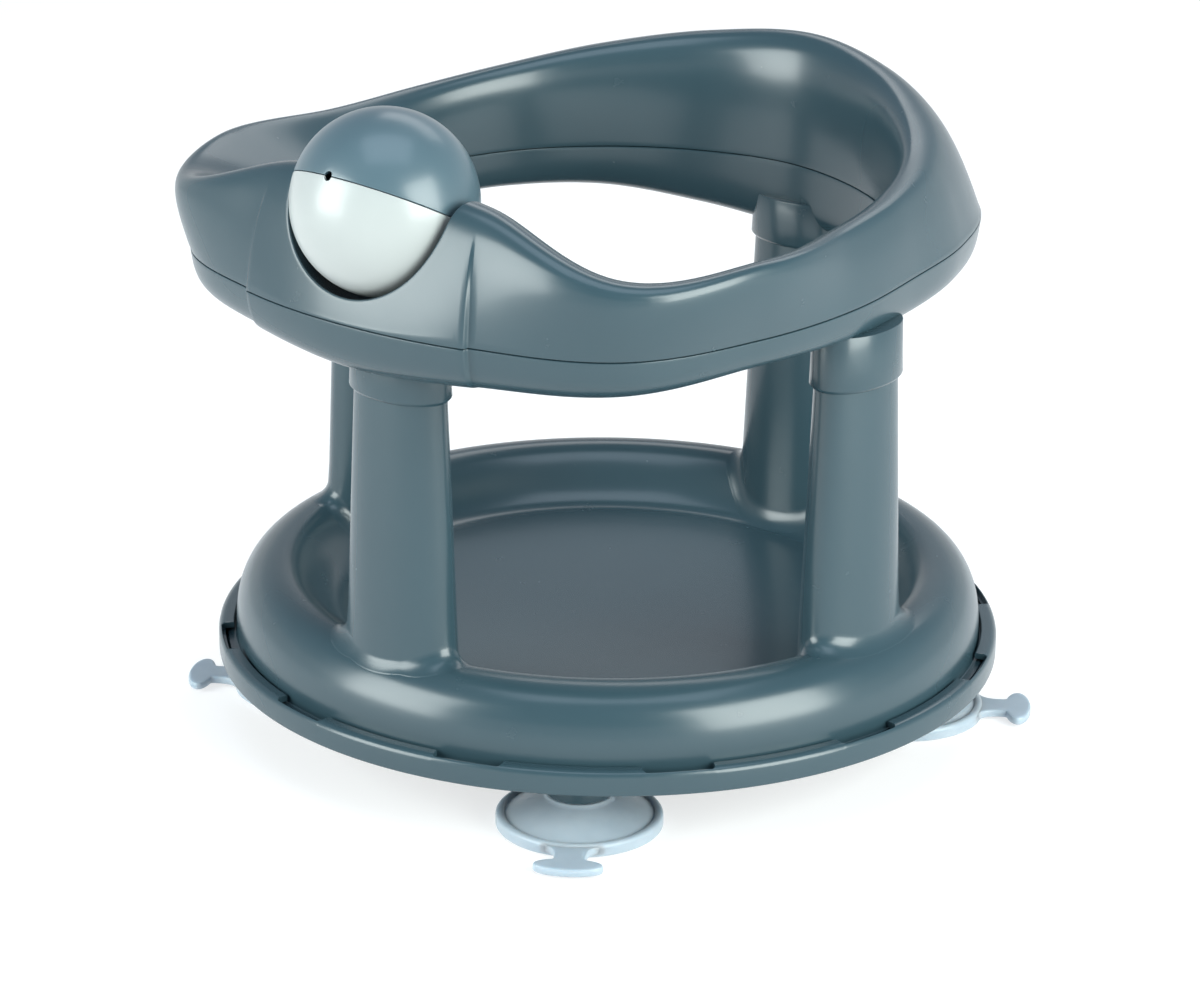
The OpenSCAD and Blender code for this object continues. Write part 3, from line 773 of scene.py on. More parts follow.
@dataclass
class SuctionCup:
    """Cup with a thick rim, a domed skin, a shoulder, a stem with a knob, and a release tab."""

    number: int
    rim_r: float = 29.2
    rim_h: float = 4.6
    rim_w: float = 3.0
    hollow_h: float = 2.4
    skin: float = 1.8
    shoulder_z: float = 11.6
    shoulder_r: float = 12.0
    stem_r: float = 6.0
    knob_r: float = 8.0
    knob_z: float = 27.5
    knob_h: float = 4.0
    circle_r: float = CUP_CIRCLE_R
    tab_len: float = 24.0
    tab_w: float = 9.6
    tab_t: float = 3.0
    neck_w: float = 11.0
    neck_len: float = 8.0
    sides: int = 144

    def section(self) -> Points:
        """Half section of the cup, from the middle of the hollow round the rim to the top of the knob.

        Returns:
            Points as radius and height.
        """
        r, w = self.rim_r, self.rim_w
        groove = r - w - self.skin * 0.6
        foot = rounded_path(
            [
                (0.0, self.hollow_h, 0),
                (r * 0.5, self.hollow_h * 0.8, 4.0),
                (r - w, 0.0, 0.4),
                (r, 0.0, 0.6),
                (r, self.rim_h, 1.7),
                (r - w, self.rim_h, 1.3),
                (r - w - 0.25, self.hollow_h + self.skin * 0.7, 0.3),
                (groove + 0.2, self.hollow_h + self.skin * 0.85, 0),
            ],
            7,
        )
        dome = cubic(
            np.array([groove + 0.2, self.hollow_h + self.skin * 0.85]),
            np.array([groove * 0.84, self.shoulder_z * 0.5]),
            np.array([groove * 0.7, self.shoulder_z * 0.68]),
            np.array([self.shoulder_r + 0.4, self.shoulder_z * 0.9]),
            np.linspace(0.0, 1.0, 25),
        )
        top = rounded_path(
            [
                (self.shoulder_r + 0.4, self.shoulder_z * 0.9, 0),
                (self.shoulder_r - 0.3, self.shoulder_z, 0.5),
                (self.stem_r, self.shoulder_z, 0),
                (self.stem_r, self.knob_z, 0),
                (self.knob_r, self.knob_z, 0.5),
                (self.knob_r, self.knob_z + self.knob_h * 0.4, 1.0),
                (self.stem_r * 0.6, self.knob_z + self.knob_h, 1.0),
                (0.0, self.knob_z + self.knob_h, 0),
            ]
        )
        return np.concatenate([foot, dome[1:-1], top])

    def tab_half(self, inset: float) -> Points:
        """Half outline of the tab and its neck, from the tab's tip to the cup, drawn in by an inset.

        Args:
            inset: How far the outline is drawn in, in millimetres.

        Returns:
            Points from the tip's middle, with the cup's axis as origin.
        """
        a, b = self.tab_len / 2 - inset, self.tab_w / 2 - inset
        middle = -self.rim_r - self.neck_len - self.tab_w / 2
        neck = self.neck_w / 2 - inset
        turn = np.linspace(0.0, np.pi * 0.83, 30)
        oval = np.stack([a * np.sin(turn), middle - b * np.cos(turn)], axis=1)
        end = oval[-1]
        heading = oval[-1] - oval[-2]
        heading /= np.linalg.norm(heading)
        bend = end + heading * max(0.2, (end[0] - neck) / max(-heading[0], 0.05))
        bend[0] = neck
        side = np.array([neck, bend[1] + 1.8])
        t = np.linspace(0.0, 1.0, 8)[1:, None]
        throat = (1 - t) ** 2 * end + 2 * t * (1 - t) * bend + t * t * side
        flare = cubic(
            side,
            np.array([neck, -self.rim_r - 1.2]),
            np.array([neck + 1.6, -self.rim_r + 0.6]),
            np.array([neck + 5.6, -self.rim_r + 2.4]),
            np.linspace(0.0, 1.0, 9)[1:],
        )
        return np.concatenate([oval, throat, flare])

    def tab(self) -> Points:
        """Layers of the tab's outline from the middle of its underside to the middle of its top.

        Returns:
            Rows of points; each row is a closed loop.
        """
        low = self.rim_h - self.tab_t - self.skin * 0.4
        layers = [(0.9, 0.0), (0.35, 0.18), (0.0, 0.8), (0.0, self.tab_t - 0.9), (0.3, self.tab_t - 0.25)]
        layers += [(0.95, self.tab_t)]
        across = np.linspace(1.0, 0.0, 6)
        rows = []
        for inset, height in layers:
            half = self.tab_half(inset)
            rows.append(self.loop(half, 1.0, low + height))
        bottom, top = self.tab_half(layers[0][0]), self.tab_half(layers[-1][0])
        rows = [self.loop(bottom, s, low) for s in across[::-1][:-1]] + rows
        rows += [self.loop(top, s, low + self.tab_t) for s in across[1:]]
        return np.stack(rows)

    def loop(self, half: Points, share: float, height: float) -> Points:
        """Closed loop from a half outline: itself, then its mirror image, at a share of its width."""
        whole = np.concatenate([half * [share, 1.0], half[::-1] * [-share, 1.0]])
        return np.column_stack([whole, np.full(len(whole), height)])

    def moulding(self) -> bpy.types.Object:
        """The cup and its tab as one mesh.

        Returns:
            The finished object, placed at the origin.
        """
        shape = Moulding()
        shift = np.array([0.0, -self.circle_r, 0.0])
        turn = (self.number - 1) * 90.0
        shape.add(turned(revolved(self.section(), full_turn(self.sides)) + shift, turn), loop_rows=True)
        shape.add(turned(self.tab() + shift, turn), loop_columns=True)
        return shape.build(f"suction_cup_{self.number}_moulding")


# The seat


@dataclass(frozen=True)
class Post:
    """Oval post of the dish: its place, and its half depth and outline at each height."""

    angle: float
    distance: float
    depth_base: float = 27.6
    depth_top: float = 22.0
    base_z: float = 57.9
    top_z: float = 165.5
    aspect: float = 1.64
    fillet: float = 7.0
    sides: int = 120

    def half_depth(self, height: float) -> float:
        """Radial half depth, which grows evenly from the top down."""
        taper = (self.depth_base - self.depth_top) / (self.top_z - self.base_z) / 2
        return self.depth_top / 2 + (self.top_z - height) * taper

    def outline(self, half_depth: np.ndarray | float, out: np.ndarray | float) -> Points:
        """Oval about the post's axis: a circle stretched across by the aspect.

        Args:
            half_depth: Radial half depth.
            out: How far the oval is grown on all sides.

        Returns:
            Points with two coordinates.
        """
        a = np.radians(full_turn(self.sides))
        across = (half_depth * self.aspect + out) * np.cos(a)
        return np.stack([across, (half_depth + out) * np.sin(a)], axis=-1)

    def level(self, half_depth: float, out: float, height: float) -> Points:
        """One closed level of the post as points."""
        return np.column_stack([self.outline(half_depth, out), np.full(self.sides, height)])

    def placed(self, points: Points) -> Points:
        """Points moved from the post's axis to its place on the seat, in the part's frame."""
        return turned(turned(points + np.array([0.0, -self.distance, 0.0]), self.angle), SEAT_TURN)


POSTS = (Post(0.0, 114.0), Post(88.3, 110.5), Post(180.0, 114.0), Post(-88.3, 110.5))


@dataclass
class SeatDish:
    """Dish with a rolled rim, a flange, a guide rib and four posts whose feet sweep out over the rim."""

    flange_r: float = 139.2
    flange_z: float = 27.5
    flange_t: float = 2.8
    side_r: float = 135.9
    side_z: float = 36.4
    rim_r: float = 119.5
    rim_z: float = 57.9
    bowl_r: float = 94.0
    bowl_edge_z: float = 38.5
    bowl_z: float = 35.5
    wall: float = 2.6
    guide_r: float = 91.4
    least_foot_share: float = 0.4
    sides: int = 288
    guide_sides: int = 180

    def skin(self) -> Points:
        """Upper side as radii and heights, from the flange over the rim to the middle of the bowl.

        Returns:
            Points as radius and height.
        """
        p = np.array
        side = cubic(
            p([self.side_r, self.side_z]),
            p([self.side_r, self.side_z + (self.rim_z - self.side_z) * 0.6]),
            p([self.rim_r + (self.side_r - self.rim_r) * 0.62, self.rim_z]),
            p([self.rim_r, self.rim_z]),
            np.linspace(0.0, 1.0, 33),
        )
        fall = cubic(
            p([self.rim_r, self.rim_z]),
            p([self.rim_r - (self.rim_r - self.bowl_r) * 0.5, self.rim_z]),
            p([self.bowl_r + (self.rim_r - self.bowl_r) * 0.45, self.bowl_edge_z]),
            p([self.bowl_r, self.bowl_edge_z]),
            np.linspace(0.0, 1.0, 37)[1:],
        )
        bowl = cubic(
            p([self.bowl_r, self.bowl_edge_z]),
            p([self.bowl_r * 0.8, self.bowl_edge_z]),
            p([self.bowl_r * 0.4, self.bowl_z]),
            p([0.0, self.bowl_z]),
            np.linspace(0.0, 1.0, 33)[1:],
        )
        start = rounded_path(
            [
                (self.flange_r, self.flange_z + self.flange_t, 0),
                (self.side_r, self.flange_z + self.flange_t, 0.6),
                (self.side_r, self.side_z, 0),
            ]
        )
        return np.concatenate([start, side[1:], fall, bowl])

    def rim_height(self, xy: Points, post: Post) -> np.ndarray:
        """Height of the dish's upper side under points given from a post's axis."""
        skin = self.skin()[::-1]
        return np.interp(np.hypot(xy[..., 0], xy[..., 1] - post.distance), skin[:, 0], skin[:, 1])

    def post_grid(self, post: Post) -> Points:
        """Rows of a post: a sheet under the rim's skin, the sweep, the wall and the top.

        The sweep's height over the rim is that of a quarter circle which leaves the rim level and meets
        the wall upright; its radius is less where the rim falls away.

        Args:
            post: The post.

        Returns:
            Rows of points about the post's axis.
        """
        half = post.depth_base / 2
        wall, far = post.outline(half, 0.0), post.outline(half, post.fillet)
        fall = np.clip((self.rim_height(wall, post) - self.rim_height(far, post)) / post.fillet, 0.0, 1.0)
        reach = post.fillet * (1.0 - fall * (1.0 - self.least_foot_share))
        rows = []
        buried = post.outline(half, reach + 0.8)
        for share in (0.0, 0.35, 0.7, 1.0):
            flat = buried * share
            rows.append(np.column_stack([flat, self.rim_height(flat, post) - self.wall * 0.5]))
        for share in 1.0 - np.cos(np.linspace(0.0, np.pi / 2, 12)):
            out = reach * (1.0 - np.sin(np.arccos(1.0 - share)))
            flat = post.outline(half, out)
            lift = reach * share
            rows.append(np.column_stack([flat, self.rim_height(flat, post) + lift]))
        foot_top = rows[-1][:, 2]
        for share in np.linspace(0.0, 1.0, 15)[1:]:
            height = foot_top + (post.top_z - foot_top) * share
            depth = post.half_depth(height)
            a = np.radians(full_turn(post.sides))
            rows.append(np.stack([depth * post.aspect * np.cos(a), depth * np.sin(a), height], axis=-1))
        rows.append(rows[-1] * [0.0, 0.0, 1.0])
        return np.stack(rows)

    def moulding(self) -> bpy.types.Object:
        """The dish, its guide rib and its posts as one mesh.

        Returns:
            The finished object, placed at the origin.
        """
        upper = self.skin()
        curve = upper[1:]
        lower = curve + self.wall * left_of(curve)
        lower[0] = [upper[1, 0] - self.wall + 0.6, self.flange_z]
        lower[:6, 0] = np.minimum(lower[:6, 0], self.side_r - self.wall)
        lower[-1] = [0.0, self.bowl_z - self.wall]
        edge = rounded_path(
            [
                (self.side_r - self.wall, self.flange_z, 0),
                (self.flange_r, self.flange_z, 0.5),
                (self.flange_r, self.flange_z + self.flange_t, 0.5),
                (self.side_r + 1.2, self.flange_z + self.flange_t, 0),
            ]
        )
        inside = lower[np.argmax(lower[:, 1] > self.flange_z + self.flange_t + 0.5) :]
        path = np.concatenate([inside[::-1], edge, upper[1:]])
        shape = Moulding()
        shape.add(turned(revolved(path, full_turn(self.sides)), SEAT_TURN), loop_rows=True)
        rib = rounded_path(
            [
                (self.guide_r, self.bowl_edge_z - self.wall / 2, 0),
                (self.guide_r, self.flange_z, 0.5),
                (self.guide_r + self.wall, self.flange_z, 0.5),
                (self.guide_r + self.wall, self.bowl_edge_z - self.wall / 2, 0),
            ]
        )
        shape.add(revolved(rib, full_turn(self.guide_sides)), loop_rows=True, loop_columns=True)
        for post in POSTS:
            shape.add(post.placed(self.post_grid(post)), loop_columns=True)
        return shape.build("seat_dish_moulding")


@dataclass
class BodyRing:
    """Ring round the baby's body: two swept skins, the ball's pocket, collars and screw holes."""

    reach: float = 150.0
    parting_z: float = 182.5
    rise: float = 50.0
    drop: float = 28.0
    wall: float = 2.4
    brow_pull_share: float = 0.75
    keel_pull_share: float = 0.86
    keel_out: float = 1.6
    panel_half_angle: float = 19.5
    panel_blend_angle: float = 0.7
    panel_step: float = 2.0
    lip_lift: float = 0.45
    pocket_r: float = 35.0
    pocket_reach: float = 18.4
    ball_front: float = BALL_FRONT
    ball_z: float = BALL_Z
    collar_z: float = 150.5
    collar_out: float = 1.65
    collar_chamfer: float = 1.2
    collar_top_z: float = 168.05
    bore_top_z: float = 165.65
    roof_reach: float = -8.0
    socket_gap: float = 0.15
    screw_angles: tuple[float, ...] = (45.0, 115.0, 150.0, -150.0, -115.0, -45.0)
    screw_well_r: float = 3.8
    well_reach: float = 3.0
    screw_seat_z: float = 171.7
    outer_shares: tuple[float, ...] = (0.949, 0.963, 1.0, 0.9, 0.827, 0.793, 0.835, 0.905, 0.925, 0.915)
    inner_shares: tuple[float, ...] = (0.547, 0.56, 0.613, 0.653, 0.673, 0.673, 0.673, 0.673, 0.68, 0.693)
    brow_r_shares: tuple[float, ...] = (0.887, 0.927, 1.085, 1.0, 0.817, 0.773, 0.787, 0.817, 0.827, 0.837)
    brow_z_shares: tuple[float, ...] = (1.11, 1.07, 0.73, 0.76, 0.63, 0.59, 0.61, 0.73, 0.89, 0.99)
    lip_r_shares: tuple[float, ...] = (0.6, 0.613, 0.653, 0.66, 0.667, 0.66, 0.653, 0.647, 0.673, 0.693)
    lip_z_shares: tuple[float, ...] = (0.51, 0.45, 0.09, 0.13, 0.37, 0.53, 0.67, 0.79, 0.85, 0.89)
    keel_shares: tuple[float, ...] = (0.757, 0.657, 0.59, 0.46, 0.475, 0.55, 0.57, 0.64, 0.846, 1.0)

    def station(self, shares: Sequence[float], angle: np.ndarray) -> np.ndarray:
        """Cubic curve through values at equal angles, level at the front and the back.

        Between two values the slope at each is half the difference of its neighbours, and the values are
        mirrored past both ends.

        Args:
            shares: Values at equal angles, from the front to the back.
            angle: Angles round the axis, in degrees from the front.

        Returns:
            One value for each angle.
        """
        v = np.asarray(shares, float)
        n = len(v) - 1
        s = np.abs((np.asarray(angle, float) + 180.0) % 360.0 - 180.0) / 180.0 * n
        i = np.minimum(s.astype(int), n - 1)
        t = s - i
        ends = np.concatenate([v[1:2], v, v[-2:-1]])
        p, q, r, w = ends[i], ends[i + 1], ends[i + 2], ends[i + 3]
        slope, bend, twist = r - p, 2 * p - 5 * q + 4 * r - w, 3 * q - p - 3 * r + w
        return (2 * q + slope * t + bend * t**2 + twist * t**3) / 2

    def at(self, r_shares: Sequence[float], z_shares: Sequence[float] | None, angle: np.ndarray) -> Points:
        """One corner of the ring's section.

        Args:
            r_shares: Its radii, as shares of the reach.
            z_shares: Its heights, as shares of the rise, or None on the parting plane.
            angle: Angles round the axis, in degrees from the front.

        Returns:
            Radius and height over the parting plane for each angle.
        """
        r = self.reach * self.station(r_shares, angle)
        z = np.zeros_like(r) if z_shares is None else self.rise * self.station(z_shares, angle)
        return np.stack([r, z], axis=-1)

    def panel_lift(self, angle: np.ndarray) -> np.ndarray:
        """How far the front panel stands out, easing off over its edge."""
        off = np.abs((np.asarray(angle, float) + 180.0) % 360.0 - 180.0)
        return self.panel_step * (1.0 - ease((off - self.panel_half_angle) / self.panel_blend_angle + 0.5))

    def upper_skin(self, angle: np.ndarray, t: np.ndarray) -> Points:
        """Top of the ring: up the outer side, over the brow and the lip and down the inner side.

        Args:
            angle: Angles round the axis, in degrees from the front.
            t: Share of the way along the section.

        Returns:
            Points in the seat's frame.
        """
        angle, t = np.broadcast_arrays(np.asarray(angle, float), np.asarray(t, float))
        start, end = self.at(self.outer_shares, None, angle), self.at(self.inner_shares, None, angle)
        brow = self.at(self.brow_r_shares, self.brow_z_shares, angle)
        lip = self.at(self.lip_r_shares, self.lip_z_shares, angle)
        p = two_corner_curve(start, brow, lip, end, self.brow_pull_share, t)
        r = p[..., 0] + self.panel_lift(angle) * (1.0 - ease(4.2 * t))
        return on_circle(r, self.parting_z + np.hypot(p[..., 1], self.lip_lift), angle)

    def lower_skin(self, angle: np.ndarray, t: np.ndarray) -> Points:
        """Underside of the ring: down the inner side, along the keel and up the outer side.

        Args:
            angle: Angles round the axis, in degrees from the front.
            t: Share of the way along the section.

        Returns:
            Points in the seat's frame.
        """
        angle, t = np.broadcast_arrays(np.asarray(angle, float), np.asarray(t, float))
        start, end = self.at(self.inner_shares, None, angle), self.at(self.outer_shares, None, angle)
        low = np.stack([np.zeros_like(angle), -self.drop * self.station(self.keel_shares, angle)], axis=-1)
        near = low + start * [1.0, 0.0] + [self.wall * 0.4, 0.0]
        far = low + end * [1.0, 0.0] - [self.keel_out, 0.0]
        p = two_corner_curve(start, near, far, end, self.keel_pull_share, t)
        r = p[..., 0] + self.panel_lift(angle) * ease(3 * t - 1.6)
        return on_circle(r, self.parting_z - np.hypot(p[..., 1], self.lip_lift), angle)

    def angles(self) -> np.ndarray:
        """Angles of the sections: even steps, close ones over the panel's edges, and the holes' sides.

        Returns:
            The angles of a whole turn, in degrees.
        """
        edge = self.panel_half_angle + self.panel_blend_angle * np.linspace(-0.5, 0.5, 9)
        panel = np.linspace(-self.pocket_reach, self.pocket_reach, 47)
        rest = np.linspace(self.panel_half_angle + self.panel_blend_angle * 2, 180.0, 160)
        spread = self.well_reach * np.linspace(-1.0, 1.0, 5)
        wells = np.concatenate([a + spread for a in self.screw_angles if a > 0])
        rest = rest[np.min(np.abs(rest[:, None] - wells[None, :]), axis=1) > 0.45]
        side = np.unique(np.round(np.concatenate([edge, rest, wells]), 6))
        return np.concatenate([-side[side < 179.999][::-1], panel, side])

    def pocket(self) -> Hole:
        """The ball's pocket: a half ball under its middle and an upright cylinder over it.

        Returns:
            The hole in the upper skin, with its wall.
        """
        middle = np.array([0.0, -self.ball_front, self.ball_z])
        r = self.pocket_r

        def form(p: Points) -> np.ndarray:
            """Distance outside the pocket's form.

            Args:
                p: Points in the seat's frame.

            Returns:
                Distance from the middle, or from the upright line over it, less the pocket's radius.
            """
            d = p - middle
            d[..., 2] = np.minimum(d[..., 2], 0.0)
            return np.linalg.norm(d, axis=-1) - r

        def wall(edge: Points, start: float) -> Points:
            """Straight down from the edge to the pocket's middle height, then along the half ball.

            Args:
                edge: Points of the hole's edge in the skin.
                start: How far from the edge the wall starts, in millimetres.

            Returns:
                Rows of points from the edge inwards.
            """
            d = edge - middle
            across = np.arctan2(d[:, 1], d[:, 0])
            low = np.arcsin(np.clip(-d[:, 2] / r, 0.0, 1.0)) * r
            first = np.where(d[:, 2] > 0, -d[:, 2], low) + start
            s = first + (r * np.pi / 2 - first) * np.linspace(0.0, 1.0, 22)[:, None]
            a = np.maximum(s, 0.0) / r
            height = middle[2] - np.minimum(s, 0.0) - r * np.sin(a)
            x = middle[0] + r * np.cos(a) * np.cos(across)
            y = middle[1] + r * np.cos(a) * np.sin(across)
            return np.stack([x, y, height], axis=-1)

        return Hole(0.0, self.pocket_reach, 0.0, 0.45, 1.0, 1.4, form, wall)

    def screw_well(self, angle: float) -> Hole:
        """Round well in the underside, up to the seat of a screw's head.

        Args:
            angle: Angle of the well, in degrees from the front.

        Returns:
            The hole in the lower skin, with its wall.
        """
        outer, inner = self.station(self.outer_shares, angle), self.station(self.inner_shares, angle)
        mid_r = self.reach * (outer + inner) / 2
        middle = on_circle(mid_r, 0.0, angle)
        r, seat = self.screw_well_r, self.screw_seat_z

        def form(p: Points) -> np.ndarray:
            """Distance outside the well's cylinder."""
            return np.hypot(p[..., 0] - middle[0], p[..., 1] - middle[1]) - r

        def wall(edge: Points, start: float) -> Points:
            """Straight up the cylinder to the seat, then in to its middle.

            Args:
                edge: Points of the hole's edge in the skin.
                start: How far from the edge the wall starts, in millimetres.

            Returns:
                Rows of points from the edge inwards.
            """
            d = (edge - middle)[:, :2] / r
            rows = []
            for share in (0.0, 0.5, 1.0):
                height = edge[:, 2] + start + (seat - edge[:, 2] - start) * share
                rows.append(np.column_stack([middle[:2] + d * r, height]))
            rows.append(np.column_stack([np.broadcast_to(middle[:2], d.shape), np.full(len(d), seat)]))
            return np.stack(rows)

        return Hole(angle, self.well_reach, 0.25, 0.5, 0.75, 0.5, form, wall)

    def shell(
        self, shape: Moulding, skin: Skin, shares: np.ndarray, holes: Sequence[Hole], side: float
    ) -> None:
        """Add a skin with its holes, and close it along the parting plane with a narrow groove on both sides.

        Args:
            shape: The mesh to add to.
            skin: The skin as a function of angle and share.
            shares: Shares of the way round the section.
            holes: Holes in the skin.
            side: 1 for the shell over the parting plane and -1 for the one under it.
        """
        angles = self.angles()
        dropped = np.zeros((len(angles), len(shares) - 1), bool)
        for hole in holes:
            dropped[:-1] |= hole.cells(angles, shares)
            shape.add(turned(hole.patch(skin, angles, shares), SEAT_TURN), loop_columns=True)
        grid = skin(angles[:, None], shares[None, :])
        shape.add(turned(grid, SEAT_TURN), loop_rows=True, dropped=dropped)
        insets = np.array([0.0, 0.05, 0.2, 1.3, 1.3])
        heights = np.array([self.lip_lift, 0.28, 0.2, 0.2, 0.0])
        first, last = np.hypot(grid[:, 0, 0], grid[:, 0, 1]), np.hypot(grid[:, -1, 0], grid[:, -1, 1])
        s = np.sign(last - first)[:, None]
        z = np.broadcast_to(self.parting_z + side * heights, (len(angles), len(heights)))
        r = np.concatenate([first[:, None] + s * insets, (last[:, None] - s * insets)[:, ::-1]], axis=1)
        closing = on_circle(r, np.concatenate([z, z[:, ::-1]], axis=1), angles[:, None])
        shape.add(turned(closing, SEAT_TURN), loop_rows=True)

    def upper_moulding(self) -> bpy.types.Object:
        """Upper shell with the ball's pocket.

        Returns:
            The finished object, placed at the origin.
        """
        shape = Moulding()
        self.shell(shape, self.upper_skin, np.linspace(0.0, 1.0, 81), [self.pocket()], 1.0)
        return shape.build("ring_upper_moulding")

    def collar(self, post: Post) -> Points:
        """Rows of a collar: its bore's roof, the bore, the chamfered edge, the wall and the ledge on it.

        Args:
            post: The post under the collar.

        Returns:
            Rows of points about the post's axis.
        """
        keel_z = self.parting_z - self.drop * float(self.station(self.keel_shares, np.array(post.angle)))
        top = max(keel_z + self.wall, self.collar_top_z)
        low, roof = post.half_depth(self.collar_z), post.half_depth(self.bore_top_z)
        levels = [
            (roof, self.roof_reach, self.bore_top_z),
            (roof, self.socket_gap, self.bore_top_z),
            (low, self.socket_gap, self.collar_z + 0.15),
            (low, self.collar_out - self.collar_chamfer - 0.05, self.collar_z),
            (low, self.collar_out - self.collar_chamfer + 0.1, self.collar_z + 0.02),
            (low, self.collar_out - 0.18, self.collar_z + self.collar_chamfer - 0.15),
            (low, self.collar_out, self.collar_z + self.collar_chamfer + 0.25),
            (post.half_depth(self.collar_z + 8), self.collar_out, self.collar_z + 8),
            (post.depth_top / 2, self.collar_out, top - 0.3),
            (post.depth_top / 2, self.collar_out - 0.09, top - 0.09),
            (post.depth_top / 2, self.collar_out - 0.3, top),
            (post.depth_top / 2, self.roof_reach, top),
        ]
        return np.stack([post.level(*level) for level in levels])

    def lower_moulding(self) -> bpy.types.Object:
        """Lower shell with its screw wells and the collars over the posts.

        Returns:
            The finished object, placed at the origin.
        """
        shape = Moulding()
        wells = [self.screw_well(a) for a in self.screw_angles]
        self.shell(shape, self.lower_skin, np.linspace(0.0, 1.0, 57), wells, -1.0)
        for post in POSTS:
            grid = self.collar(post)
            ends = grid[[0, -1]].mean(axis=1, keepdims=True) * np.ones((1, post.sides, 1))
            grid = np.concatenate([ends[:1], grid, ends[1:]])
            shape.add(post.placed(grid), loop_columns=True)
        return shape.build("ring_lower_moulding")


# The ball


@dataclass
class PlayBall:
    """Ball of two hollow halves with a tilted seam and a drain hole at the seam's front and back."""

    radius: float = 32.0
    wall: float = 2.2
    front: float = BALL_FRONT
    height: float = BALL_Z
    tilt: float = 29.0
    drain_r: float = 1.5
    seam: float = 0.12
    edge: float = 0.3
    sharp_angle: float = 50.0

    def half(self, side: float) -> Points:
        """Rows of one half: the inner wall, the seam's face, its edge and the outer wall up to the pole.

        Args:
            side: 1 for the half over the seam and -1 for the one under it.

        Returns:
            Rows of points in the part's frame; along the seam the edge bends round the drain holes.
        """
        near = np.degrees((self.drain_r + 0.25) / self.radius)
        fine = np.linspace(-near, near, 29)
        rest = np.linspace(near, 180.0 - near, 86)[1:-1]
        turn = np.concatenate([fine, rest, 180.0 + fine, 180.0 + rest])
        off = (turn + 90.0) % 180.0 - 90.0
        s = np.radians(off) * self.radius
        foot = self.seam + np.sqrt(np.maximum(self.drain_r**2 - s * s, 0.0))
        inner = self.radius - self.wall
        a = np.linspace(0.0, 1.0, 40)[:, None]
        low = np.arcsin((foot + self.edge) / self.radius)
        lat = low + (np.pi / 2 - low) * a
        outer_r, outer_z = self.radius * np.cos(lat), self.radius * np.sin(lat)
        low_in = np.arcsin(foot / inner)
        lat_in = np.pi / 2 + (low_in - np.pi / 2) * a[::2]
        inner_r, inner_z = inner * np.cos(lat_in), inner * np.sin(lat_in)
        level = np.sqrt(self.radius**2 - foot**2)
        face_r = np.stack([level - self.edge, level - self.edge * 0.35, level - self.edge * 0.05])
        face_z = np.stack([foot, foot + self.edge * 0.12, foot + self.edge * 0.5])
        r = np.concatenate([inner_r, face_r, outer_r])
        z = side * np.concatenate([inner_z, face_z, outer_z])
        p = on_circle(r, z, turn[None, :])
        t = math.radians(-self.tilt)
        y = p[..., 1] * math.cos(t) - p[..., 2] * math.sin(t) - self.front
        h = p[..., 1] * math.sin(t) + p[..., 2] * math.cos(t) + self.height
        return turned(np.stack([p[..., 0], y, h], axis=-1), SEAT_TURN)

    def moulding(self, side: float, name: str) -> bpy.types.Object:
        """One half as a mesh.

        Args:
            side: 1 for the half over the seam and -1 for the one under it.
            name: The object's name.

        Returns:
            The finished object, placed at the origin.
        """
        shape = Moulding()
        shape.add(self.half(side), loop_columns=True)
        return shape.build(name, self.sharp_angle)


# The studio


def facing(aim: Points, azimuth: float, elevation: float, distance: float, roll: float = 0.0) -> Matrix:
    """Place of a lamp or a camera that looks at a point.

    Args:
        aim: The point, in metres.
        azimuth: Angle round the point in degrees, from -Y towards +X.
        elevation: Angle over the level plane, in degrees.
        distance: Distance from the point, in metres.
        roll: Turn about the line of sight, in degrees.

    Returns:
        Matrix whose columns are right, up, the way back from the point, and the place.
    """
    a, e, turn = (math.radians(v) for v in (azimuth, elevation, roll))
    back = np.array([math.sin(a) * math.cos(e), -math.cos(a) * math.cos(e), math.sin(e)])
    level = np.array([math.cos(a), math.sin(a), 0.0])
    rise = np.cross(back, level)
    place = np.eye(4)
    place[:3, 0] = math.cos(turn) * level + math.sin(turn) * rise
    place[:3, 1] = math.cos(turn) * rise - math.sin(turn) * level
    place[:3, 2] = back
    place[:3, 3] = aim + back * distance
    return Matrix(place)


@dataclass(frozen=True)
class SoftBox:
    """Rectangular soft light that points at the seat."""

    name: str
    azimuth: float
    elevation: float
    distance: float
    width: float
    height: float
    power: float
    tint: tuple[float, float, float] = (1.0, 1.0, 1.0)

    def make(self, target: Points) -> None:
        """Hang the light at its angles round the target, facing it.

        Args:
            target: Point that the light faces, in metres.
        """
        data = bpy.data.lights.new(self.name, "AREA")
        data.shape = "RECTANGLE"
        data.size, data.size_y, data.energy, data.color = self.width, self.height, self.power, self.tint
        lamp = bpy.data.objects.new(self.name, data)
        bpy.context.scene.collection.objects.link(lamp)
        lamp.matrix_world = facing(target, self.azimuth, self.elevation, self.distance)


